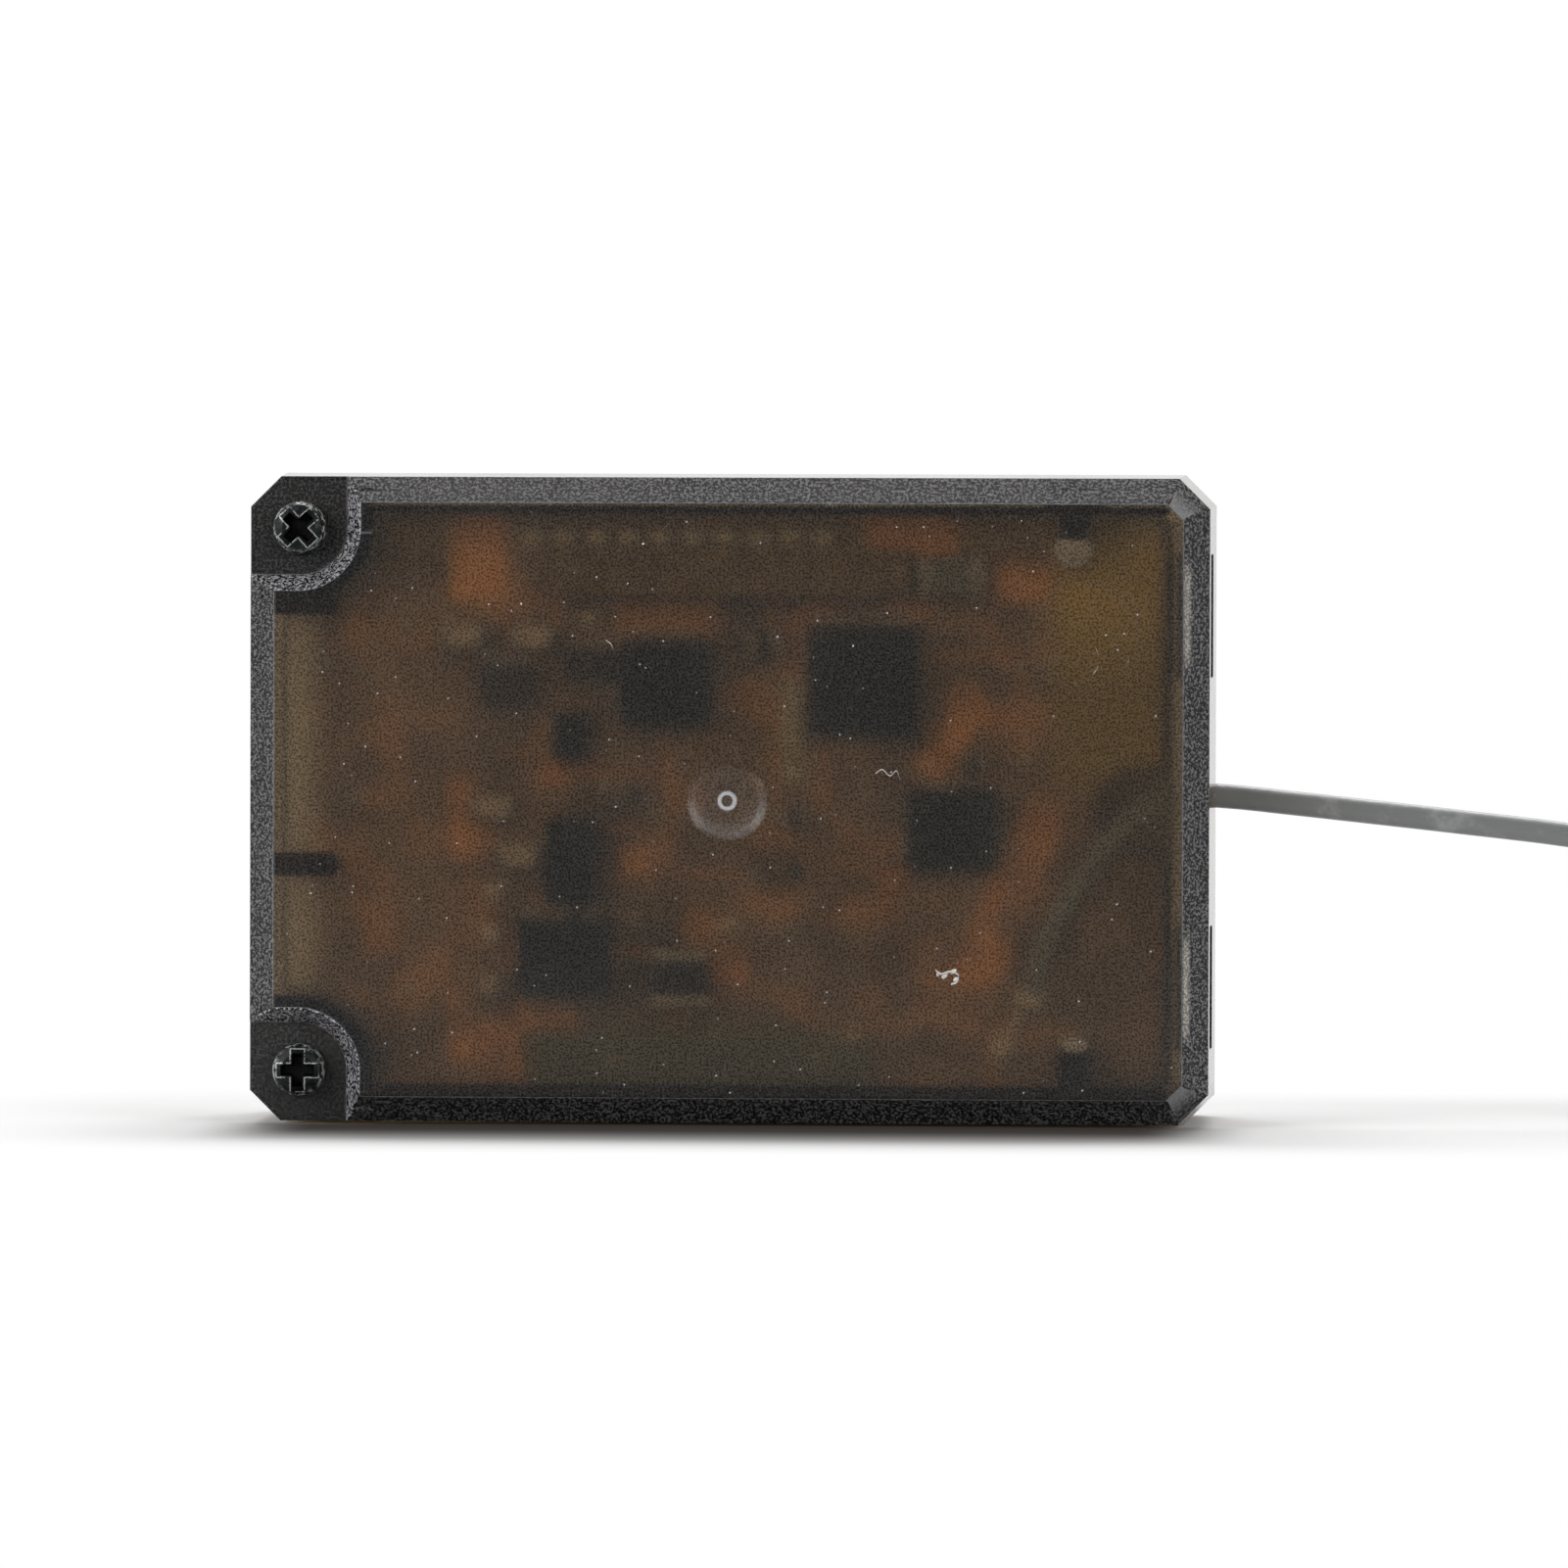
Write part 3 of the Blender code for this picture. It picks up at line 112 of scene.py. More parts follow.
# Saddle under the coax, in millimetres: low x, high x, low z, high z
SADDLE = (14.5, 17.3, 10.6, 14.1)
SADDLE_DROP = 0.75 * MM
SADDLE_THICKNESS = 0.4 * MM
TIE_ANGLE = 300.0
TIE_SIZE = (2.10 * MM, 1.7 * MM, 1.93 * MM)
TIE_THICKNESS = 0.10 * MM
TIE_BEND = 0.55 * MM

# Copper areas under the mask on the lid side, in millimetres: low x, high x, low z, high z
# Painted light in part: the bright pours are full, even copper where less light reaches the
# upper board
BRIGHT_POURS = (
    (-11.1, -8.9, 20.5, 23.9),
    (5.2, 8.8, 22.2, 23.9),
    (10.4, 12.5, 20.5, 21.9),
)
COPPER_POURS = (
    (-11.2, -9.9, 10.2, 13.8),
    (-11.1, -10.0, 2.3, 9.4),
    (-10.1, -8.3, 1.7, 4.2),
    (-4.4, -3.2, 9.7, 10.9),
    (-0.8, 0.7, 5.3, 7.2),
    (-8.5, -6.1, 3.7, 5.0),
    (5.7, 6.8, 7.9, 10.1),
)
DULL_POURS = ((-4.5, -1.9, 19.3, 20.5), (2.2, 3.0, 16.5, 20.0), (-7.6, -6.4, 13.2, 14.6))
# Painted shade: darker places of the board, in millimetres: x, z, reach
BOARD_SHADE = ((0.9, 19.4, 2.3), (-9.0, 17.0, 1.6), (-4.6, 11.4, 1.7), (-3.0, 6.8, 2.0),
               (9.4, 12.6, 1.7), (-6.4, 14.6, 1.3), (1.9, 10.0, 1.6), (-10.9, 10.7, 1.0))
COPPER_BANDS = (
    ((12.2, 12.1), (10.6, 8.3), 1.7),
    ((10.5, 8.0), (8.9, 4.6), 2.1),
    ((7.9, 14.2), (9.6, 16.4), 1.1),
)
PAD_ROW = {"first": -7.83, "pitch": 1.27, "count": 10, "level": 23.0, "radius": 0.50}
TRACKS = (
    ((-9.0, 14.6), (-6.9, 14.6), (-6.0, 13.7), (-3.2, 13.7)),
    ((-0.7, 17.0), (1.2, 17.0), (2.0, 16.2), (2.9, 16.2)),
    ((-0.7, 16.4), (0.9, 16.4), (1.7, 15.6), (1.7, 12.2)),
    ((7.4, 16.0), (8.6, 14.8), (8.6, 13.3)),
    ((7.5, 18.4), (10.6, 18.4), (11.4, 17.6), (11.4, 14.3)),
    ((3.6, 15.1), (3.6, 12.4), (5.2, 10.8), (6.9, 10.8)),
    ((-4.9, 6.8), (-3.4, 6.8), (-3.1, 6.5)),
    ((-0.8, 5.0), (2.2, 5.0), (3.4, 3.8), (7.2, 3.8)),
    ((-5.2, 11.6), (-3.8, 11.6), (-2.0, 9.8), (0.8, 9.8)),
    ((-2.6, 15.4), (-2.6, 13.4), (-1.1, 11.9)),
    ((-6.9, 20.6), (-6.9, 19.5)),
    ((1.5, 20.6), (1.5, 19.5)),
    ((4.1, 20.6), (4.1, 19.8)),
    ((6.1, 20.6), (6.1, 19.8)),
    ((9.9, 9.9), (9.9, 7.8), (8.7, 6.6)),
)
TRACK_WIDTH = 0.22
VIAS = (
    (-12.6, 5.2), (-12.6, 8.4), (-12.6, 15.8), (-12.9, 19.6), (-14.9, 12.7), (-5.0, 13.4),
    (-1.1, 11.9), (0.8, 9.8), (1.7, 12.2), (2.4, 7.4), (3.4, 2.6), (7.2, 3.8), (5.2, 12.9),
    (11.4, 14.3), (11.2, 17.9), (0.2, 14.6), (-2.9, 12.2), (-0.6, 3.4), (-4.6, 2.4),
    (13.9, 9.4), (12.6, 18.2), (0.4, 7.9), (-3.9, 8.1), (4.9, 6.1),
)
SOLDER_SPOTS = ((11.8, 5.0, 0.65), (10.65, 2.95, 0.48), (4.8, 3.4, 0.30), (-9.4, 7.4, 0.42),
                (-9.4, 5.4, 0.42), (-9.3, 9.1, 0.40), (-5.6, 19.75, 0.36), (-0.1, 7.7, 0.34))
LEGEND_BARS = ((1.95, 2.75, 14.6, 17.4), (1.95, 2.75, 13.4, 14.2))
LEGEND_RISE = 0.05 * MM
VIA_RIM = 0.26 * MM
VIA_HOLE = 0.13 * MM
PAD_HEIGHT = 0.80 * MM
COPPER_RISE = 0.035
TRACK_RISE = 0.028
STAGGER = 0.012
SOLDER_HEIGHT = 1.60

# Leads of the chips: node, along-X sides, along-Z sides, leads on a side, pitch
CHIP_LEADS = (
    ("processor_chip", True, True, 8, 0.50),
    ("radio_chip", True, True, 5, 0.50),
    ("front_end_chip", True, True, 5, 0.50),
    ("servo_driver", False, True, 4, 0.50),
    ("antenna_switch", False, True, 3, 0.50),
    ("interface_chip", False, True, 7, 0.65),
)
LEAD_REACH = 0.38
LEAD_WIDTH = 0.22
LEAD_THICKNESS = 0.14
LEAD_SINK = 0.10
DOT_INSET = 0.55 * MM
DOT_RADIUS = 0.16 * MM
END_CAPS = (
    ("ceramic_capacitor_1", "x"), ("ceramic_capacitor_2", "x"), ("ceramic_capacitor_3", "x"),
    ("ceramic_capacitor_4", "x"), ("chip_resistor_1", "x"), ("chip_resistor_2", "x"),
    ("chip_resistor_3", "x"), ("chip_resistor_4", "x"), ("clamp_diode", "x"),
    ("power_inductor", "z"), ("crystal_can", "x"), ("status_led", "x"),
)
CAP_SHARE = 0.20
FILLET_WIDTH = 1.10 * MM
EJECTOR_PLACES = ((-0.3431, 0.7541), (0.3677, 0.7541), (0.3677, 0.2463))
EJECTOR_RADIUS = 2.1 * MM
# Weld lines by the screws, in millimetres: z, start and end along x
WELD_LINES = ((23.35, -18.9, -17.9), (1.95, -18.9, -17.9), (23.15, -15.1, -13.8))
SCREW_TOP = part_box("case_screw_upper")[0].y
SCREW_TURNS = {"case_screw_upper": math.radians(42), "case_screw_lower": 0.0}
RECESS_REACH = 0.81 * MM
RECESS_HALF = 0.25 * MM
CORNER_CUT = 1.2 * MM
POCKET_FLOOR = 1.80 * MM
POCKET_RIM = 2.40 * MM
POCKET_DEPTH = 1.20 * MM
WALL_POLISH = 0.245
LID_GRAIN = 0.086
BEVEL_GRAIN = 0.110
DUST_SPACING = 0.55
HAZE_GREY = (0.60, 0.61, 0.64)
# Painted light streak colour, for the end bevel by the snap windows
WINDOW_LIGHT_PAINT = (0.42, 0.39, 0.35)
POCKET_BLACK = (0.012, 0.011, 0.010)
TAB_BLACK = (0.008, 0.008, 0.008)
PAD_BAND = (0.60, 0.47, 0.27)
# Painted light colour for the board's end away from the antenna
LIT_END_PAINT = (0.84, 0.82, 0.76)
SHADE_BROWN = (0.075, 0.060, 0.045)
LOW_GREEN = (0.14, 0.15, 0.10)
TAB_SPREAD = 7.25 * MM
TAB_HALF = 2.35 * MM
TAB_INNER = 17.05 * MM
TAB_OUTER = 17.80 * MM
LIP_THICKNESS = 0.18 * MM
LIP_GAP = 0.03 * MM
LIP_ENDS = (-14.3 * MM, 17.2 * MM)
LIP_LOW = LID_Y + 1.08 * MM

# Painted light: pale caps on the rounded ends of the two locating ribs, in millimetres: x, z,
# radius along x and z
POST_ENDS = ((13.42, 22.50, 0.76, 0.64), (13.52, 3.28, 0.56, 0.34))
POST_TOP = LID_Y + 1.15 * MM
# Painted shade: dark blocks in the middles of the same ribs, in millimetres: low x, high x, low
# z, high z
RIB_CORES = ((12.90, 13.86, 22.95, 24.05), (13.08, 14.06, 1.35, 2.95))

# Dust on the lid, in millimetres: hairs as points and radius, crumbs as place and size
LINT = (
    (((14.35, 18.75), (14.45, 18.4), (14.40, 18.0), (14.25, 17.75)), 0.022),
    (((5.80, 13.85), (6.05, 14.0), (6.35, 13.75), (6.6, 13.95), (6.75, 13.6)), 0.024),
    (((-4.75, 19.0), (-4.55, 18.85), (-4.45, 18.65)), 0.022),
    (((8.15, 6.2), (8.35, 6.05), (8.75, 6.15), (9.05, 6.0), (9.0, 5.75), (8.75, 5.65)), 0.045),
)
CRUMBS = ((8.50, 6.0, 0.19), (8.85, 6.15, 0.16), (8.95, 5.85, 0.15), (8.25, 6.05, 0.12),
          (1.95, 19.15, 0.06), (-8.05, 20.4, 0.06), (-3.3, 22.75, 0.07), (4.9, 18.8, 0.06),
          (-3.9, 21.2, 0.05), (9.7, 20.3, 0.05), (-8.8, 9.4, 0.045), (15.2, 8.8, 0.05),
          (-12.2, 3.8, 0.05), (4.8, 15.2, 0.045), (12.7, 16.1, 0.04), (-14.8, 15.7, 0.04))
CASE_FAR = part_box("top_shell")[1].y
LABEL_CLEAR = 1.1 * MM
LABEL_EDGE = 1.05 * MM
LABEL_RISE = 0.10 * MM
CAP_PROUD = 0.03
# Soft lights, in metres: name, place, diameter, power for each watt of the main setting
LIGHTS = (
    ("light_top", (0.0, 0.36, 0.46), 0.45, 2.9),
    ("light_left", (-0.42, -0.42, 0.20), 0.44, 2.5),
    ("light_right", (0.42, -0.42, 0.20), 0.44, 1.75),
)


class CaseLook(bpy.types.PropertyGroup):
    """Settings of the moulded case."""

    short = "receiver_case"
    tint: bpy.props.FloatVectorProperty(
        name="Tint", description="Colour that the smoky plastic lets through",
        subtype="COLOR", default=(0.52, 0.42, 0.25), min=0.0, max=1.0)
    density: bpy.props.FloatProperty(
        name="Density", description="How fast the plastic darkens with depth, per metre",
        default=1590.0, min=0.0)
    roughness: bpy.props.FloatProperty(
        name="Roughness", description="Blur of what lies behind the plastic",
        default=0.325, min=0.0, max=1.0)
    haze: bpy.props.FloatProperty(
        name="Haze", description="Share of the light that the plastic scatters back",
        default=0.020, min=0.0, max=1.0)
    speckle: bpy.props.FloatProperty(
        name="Speckle", description="How dark the grain's hollows make the lid",
        default=0.95, min=0.0, max=1.0)
    texture: bpy.props.FloatProperty(
        name="Texture", description="How opaque the spark-eroded bevels and pockets are",
        default=0.92, min=0.0, max=1.0)
    texture_low: bpy.props.FloatVectorProperty(
        name="Texture hollows", description="Colour of the eroded texture's hollows",
        subtype="COLOR", default=(0.002, 0.002, 0.003), min=0.0, max=1.0)
    texture_high: bpy.props.FloatVectorProperty(
        name="Texture peaks", description="Colour of the eroded texture's peaks",
        subtype="COLOR", default=(0.150, 0.150, 0.154), min=0.0, max=1.0)
    # Painted light: the pocket slopes' peaks paler than the bevels'
    lit_slope_peak: bpy.props.FloatVectorProperty(
        name="Pocket peaks", description="Colour of the peaks on the pocket slopes",
        subtype="COLOR", default=(0.40, 0.40, 0.42), min=0.0, max=1.0)
    grain: bpy.props.FloatProperty(
        name="Grain", description="Depth of the moulded grain", default=0.0012 * MM,
        min=0.0, unit="LENGTH", precision=6)


class AntennaLook(bpy.types.PropertyGroup):
    """Settings of the antenna wire."""

    short = "receiver_antenna"
    length: bpy.props.FloatProperty(
        name="Length", description="Length of the wire outside the case", default=0.145,
        min=0.05, unit="LENGTH")
    tip: bpy.props.FloatProperty(
        name="Bared tip", description="Length of the bared tip", default=0.031, min=0.0,
        unit="LENGTH")
    diameter: bpy.props.FloatProperty(
        name="Diameter", description="Diameter over the jacket", default=0.95 * MM,
        min=0.0003, unit="LENGTH", precision=5)
    coil: bpy.props.FloatProperty(
        name="Coil radius", description="Radius of the middle of the coil",
        default=5.5 * MM, min=0.002, unit="LENGTH", precision=5)
    colour: bpy.props.FloatVectorProperty(
        name="Jacket", description="Colour of the jacket", subtype="COLOR",
        default=(0.150, 0.156, 0.152), min=0.0, max=1.0)


class BoardLook(bpy.types.PropertyGroup):
    """Colours of the circuit board."""

    short = "receiver_board"
    mask: bpy.props.FloatVectorProperty(
        name="Mask", description="Colour of the solder mask", subtype="COLOR",
        default=(0.370, 0.255, 0.160), min=0.0, max=1.0)
    laminate: bpy.props.FloatVectorProperty(
        name="Laminate", description="Colour of the bare laminate", subtype="COLOR",
        default=(0.37, 0.27, 0.07), min=0.0, max=1.0)
    copper: bpy.props.FloatVectorProperty(
        name="Copper", description="Colour of the copper pours", subtype="COLOR",
        default=(1.0, 0.49, 0.17), min=0.0, max=1.0)


class StageLook(bpy.types.PropertyGroup):
    """Settings of the camera and the light."""

    short = "receiver_stage"
    distance: bpy.props.FloatProperty(
        name="Distance", description="Camera distance from its target", default=0.480,
        min=0.1, unit="LENGTH")
    yaw: bpy.props.FloatProperty(
        name="Yaw", description="Camera angle towards the antenna end",
        default=math.radians(3.3), subtype="ANGLE")
    elevation: bpy.props.FloatProperty(
        name="Elevation", description="Camera angle over the horizon",
        default=math.radians(1.2), subtype="ANGLE")
    roll: bpy.props.FloatProperty(
        name="Roll", description="Camera roll", default=math.radians(-0.172),
        subtype="ANGLE")
    lens: bpy.props.FloatProperty(
        name="Lens", description="Focal length on a 36 mm sensor, in millimetres",
        default=279.2, min=10.0)
    target: bpy.props.FloatVectorProperty(
        name="Target", description="Point that the camera looks at", subtype="TRANSLATION",
        default=(1.836 * MM, 0.0, 13.28 * MM))
    light: bpy.props.FloatProperty(
        name="Light", description="Power of the main soft light, in watts", default=1.0,
        min=0.0)


def put(tree, target, value):
    """Link a signal to a socket, or set the socket's own value."""
    if isinstance(value, Signal):
        tree.links.new(value.socket, target)
    elif target.type == "RGBA" and len(value) == 3:
        target.default_value = (*value, 1.0)
    else:
        target.default_value = value


class Signal:
    """A node's output. Arithmetic on it adds Math nodes."""

    def __init__(self, tree, socket):
        self.tree = tree
        self.socket = socket

    def math(self, operation, first, *others):
        node = self.tree.nodes.new("ShaderNodeMath")
        node.operation = operation
        for target, value in zip(node.inputs, (first, *others)):
            put(self.tree, target, value)
        return Signal(self.tree, node.outputs[0])

    def __add__(self, other):
        return self.math("ADD", self, other)

    __radd__ = __add__

    def __sub__(self, other):
        return self.math("SUBTRACT", self, other)

    def __rsub__(self, other):
        return self.math("SUBTRACT", other, self)

    def __mul__(self, other):
        return self.math("MULTIPLY", self, other)

    __rmul__ = __mul__

    def __abs__(self):
        return self.math("ABSOLUTE", self)

    def lower(self, other):
        return self.math("MINIMUM", self, other)

    def higher(self, other):
        return self.math("MAXIMUM", self, other)


def highest(signals):
    """Return the highest of several signals."""
    return functools.reduce(Signal.higher, signals)


def lowest(signals):
    """Return the lowest of several signals."""
    return functools.reduce(Signal.lower, signals)


def scaled(colour, share):
    """Return a colour made darker or paler."""
    return tuple(min(1.0, share * part) for part in colour)


def centre_of(name):
    """Return the middle of a CAD node's box."""
    low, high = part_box(name)
    return (low + high) / 2


class Finish:
    """A material, or the world, while its nodes are being made."""

    def __init__(self, name, holder=None):
        self.holder = holder or bpy.data.materials.new(name)
        self.holder.use_nodes = True
        self.tree = self.holder.node_tree
        self.tree.nodes.clear()

    def node(self, kind, settings=None, inputs=None, output=0):
        """Add a node: its type, its settings first, then its sockets' values or links."""
        node = self.tree.nodes.new("ShaderNode" + kind)
        for key, value in (settings or {}).items():
            setattr(node, key, value)
        for key, value in (inputs or {}).items():
            put(self.tree, node.inputs[key], value)
        return None if output is None else Signal(self.tree, node.outputs[output])

    def place(self):
        """Return the piece's own coordinates, in metres."""
        return self.node("TexCoord", output="Object")

    def axes(self, place):
        """Return the three parts of a vector."""
        return [self.node("SeparateXYZ", inputs={0: place}, output=i) for i in range(3)]

    def noise(self, place, size, detail=2.0, rough=0.5):
        """Return noise whose lumps are about `size` millimetres across."""
        return self.node("TexNoise", inputs={"Vector": place, "Scale": 1.0 / (size * MM),
                                             "Detail": detail, "Roughness": rough})

    def step(self, value, low, high):
        """Return 0 below low and 1 above high, with a soft change between."""
        return self.node("MapRange", {"interpolation_type": "SMOOTHSTEP"},
                         {"Value": value, "From Min": low, "From Max": high})

    def rise(self, length, low, high, start=0.0):
        """Return 0 below low and 1 above high, in millimetres past a start in metres."""
        return self.step(length, start + low * MM, start + high * MM)

    def fall(self, length, low, high, start=0.0):
        """Return 1 below low and 0 above high, in millimetres past a start in metres."""
        return 1.0 - self.rise(length, low, high, start)

    def mix(self, factor, first, second):
        """Return a colour between two colours."""
        return self.node("Mix", {"data_type": "RGBA"}, {0: factor, 6: first, 7: second},
                         output=2)

    def bump(self, height, depth, normal=None):
        """Return the normal of a surface with relief."""
        inputs = {"Height": height, "Strength": 1.0, "Distance": depth}
        if normal:
            inputs["Normal"] = normal
        return self.node("Bump", inputs=inputs)

    def across(self, first, second):
        """Return the distance that two lengths at right angles give."""
        flat = self.node("CombineXYZ", inputs={"X": first, "Y": 0.0, "Z": second})
        return self.node("VectorMath", {"operation": "LENGTH"}, {0: flat}, output="Value")

    def soft_edges(self, radius):
        """Return the normal of a surface whose edges look rounded."""
        return self.node("Bevel", {"samples": 4}, {"Radius": radius})

    def plain(self, **sockets):
        """Return a Principled shader, its sockets named with underscores for spaces."""
        named = {key.replace("_", " "): value for key, value in sockets.items()}
        return self.node("BsdfPrincipled", inputs=named)

    def close(self, surface, volume=None):
        """Join the shaders to the output and return the material."""
        kind = "OutputWorld" if isinstance(self.holder, bpy.types.World) else "OutputMaterial"
        inputs = {"Surface": surface}
        if volume:
            inputs["Volume"] = volume
        self.node(kind, inputs=inputs, output=None)
        return self.holder


def screw_pockets(f, x, z, deep):
    """Return where the slopes and the floors of the two screw pockets are."""
    slopes, floors = [], []
    for name, side in zip(SCREWS, (1.0, -1.0)):
        middle = centre_of(name)
        away = f.across((x - middle.x).higher(0.0), (side * (middle.z - z)).higher(0.0))
        cone = (POCKET_RIM - away) * (POCKET_DEPTH / (POCKET_RIM - POCKET_FLOOR))
        outside = f.rise(away, 0.02, 0.07, POCKET_FLOOR)
        slopes.append(f.fall(abs(deep - cone), 0.10, 0.18) * outside)
        floors.append(f.fall(abs(deep - POCKET_DEPTH), 0.02, 0.06) * (1.0 - outside))
    return highest(slopes), highest(floors)


def moulding_marks(f, x, z):
    """Return the gate's dish and nub, with painted light on the dish's lower slope, the ejector
    rings and the weld lines.
    """
    gate = f.across(x, z - CASE_TOP / 2)
    below = f.rise(CASE_TOP / 2 - z, -0.4, 1.2)
    # Painted light: the lower slope of the dish paler, where it faces up to the light
    dish = f.fall(gate, 1.30, 1.62) * (0.016 + 0.065 * below * f.rise(gate, 0.70, 1.30))
    nub = 0.60 * f.rise(gate, 0.20, 0.25) * f.fall(gate, 0.33, 0.42)
    rings = []
    for share_x, share_z in EJECTOR_PLACES:
        away = f.across(x - share_x * 2 * CASE_END, z - share_z * CASE_TOP)
        rings.append(f.fall(abs(away - EJECTOR_RADIUS), 0.02, 0.10))
    welds = [f.fall(abs(z - level * MM), 0.02, 0.07) * f.rise(x, start, start + 0.2)
             * f.fall(x, end - 0.2, end) for level, start, end in WELD_LINES]
    return dish + nub, highest(rings), highest(welds)


def smoky_plastic(look):
    """Smoky case plastic: satin lid, grained bevels, smooth walls, darker the deeper it is."""
    f = Finish("smoky_plastic")
    place = f.place()
    x, y, z = f.axes(place)
    fine = f.noise(place, LID_GRAIN, 1.0, 0.7)
    coarse = f.noise(place, BEVEL_GRAIN, 1.0, 0.8)
    deep, far = y - LID_Y, CASE_FAR - y
    side = CASE_END - abs(x)
    end = (CASE_TOP - z).lower(z)
    inset = lowest((side, end, (side + end - CORNER_CUT) * math.sqrt(0.5)))
    bevel = f.rise(deep, 0.02, 0.06) * f.fall(deep + inset, 1.22, 1.32)
    lid = f.fall(deep, 0.20, 0.26) * (1.0 - bevel)
    rim = f.rise(far, 0.02, 0.06) * f.fall(far + inset, 1.02, 1.12)
    slope, well = screw_pockets(f, x, z, deep)
    level = abs(abs(z - CASE_TOP / 2) - TAB_SPREAD)
    tab = (f.fall(level, 0.0, 0.15, TAB_HALF) * f.rise(x, -0.05, 0.05, TAB_INNER)
           * f.fall(x, 0.0, 0.10, TAB_OUTER) * f.rise(deep, 1.15, 1.25))
    # Painted light: a pale streak on the end bevel beside each snap window
    window_light_streak = (f.rise(x, -0.06, 0.02, TAB_OUTER) * f.fall(x, 0.12, 0.30, TAB_OUTER)
              * (1.0 - f.step(level, 0.6 * TAB_HALF, TAB_HALF)))
    textured = highest((bevel, rim, slope, well * 0.55))
    wall = f.fall(inset, 0.30, 0.40) * (1.0 - textured)

    # Clear body: blurred behind the lid, smoother in the outer walls, grained on the lid
    tone = f.step(fine, 0.36, 0.62)
    shade = f.mix(lid * (1.0 - tone) * look.speckle, (1.0, 1.0, 1.0), (0.10, 0.10, 0.10))
    smear = f.step(f.noise(place, 6.0, 3.0), 0.35, 0.75)
    body = f.plain(Base_Color=shade,
                   Roughness=look.roughness + 0.04 * smear - wall * WALL_POLISH,
                   Transmission_Weight=1.0, IOR=1.50,
                   Normal=f.bump(0.6 * fine + coarse, look.grain, f.soft_edges(0.12 * MM)))

    # What scatters: spark-eroded bevels and pocket slopes, haze, moulding marks and dust;
    # painted shade along the bottom edge, painted light on the pocket slopes, the gate's dish
    # and by the snap windows
    pits = f.step(coarse, 0.47, 0.60)
    eroded = f.mix(pits, look.texture_low, look.texture_high)
    # Painted shade: the eroded texture darker along the bottom edge, next to the floor
    eroded = f.mix(0.3 * f.fall(z, 0.9, 1.5), eroded, look.texture_low)
    # Painted light: paler peaks on the pocket slopes, where they catch the light
    eroded = f.mix(slope, eroded, f.mix(pits, look.texture_low, look.lit_slope_peak))
    eroded = f.mix(well * 0.5, eroded, POCKET_BLACK)
    frost = f.mix(textured.higher(well), HAZE_GREY, eroded)
    # Painted light streak on the end bevel by the snap windows
    frost = f.mix(bevel * window_light_streak * (0.4 + 0.6 * pits), frost, WINDOW_LIGHT_PAINT)
    frost = f.mix(tab, frost, TAB_BLACK)
    rough = f.plain(Base_Color=frost, Roughness=0.55, Specular_IOR_Level=0.3,
                    Normal=f.bump(coarse * textured, 0.02 * MM))
    gate, ring, weld = moulding_marks(f, x, z)
    cells = f.node("TexVoronoi", {"feature": "F1"},
                   {"Vector": place, "Scale": 1.0 / (DUST_SPACING * MM)})
    dust = (1.0 - f.step(cells, 0.050, 0.085)) * f.step(f.noise(place, 1.1, 1.0), 0.46, 0.54)
    haze = look.haze * (0.1 + lid * 4.4 * f.step(fine, 0.50, 0.74)) * (1.0 - textured)
    marks = f.fall(deep, 0.5, 0.8) * gate + 0.010 * ring + 0.12 * weld + 0.60 * lid * dust
    cover = (haze + marks + textured * look.texture + 0.7 * tab).lower(1.0)
    dusty = f.node("MixShader", inputs={0: cover, 1: body, 2: rough})
    clear = f.node("BsdfTransparent", inputs={"Color": (0.96, 0.96, 0.96)})
    shadow = f.node("LightPath", output="Is Shadow Ray")
    surface = f.node("MixShader", inputs={0: shadow, 1: dusty, 2: clear})
    depth = f.node("VolumeAbsorption", inputs={"Color": tuple(look.tint),
                                               "Density": look.density})
    return f.close(surface, depth)


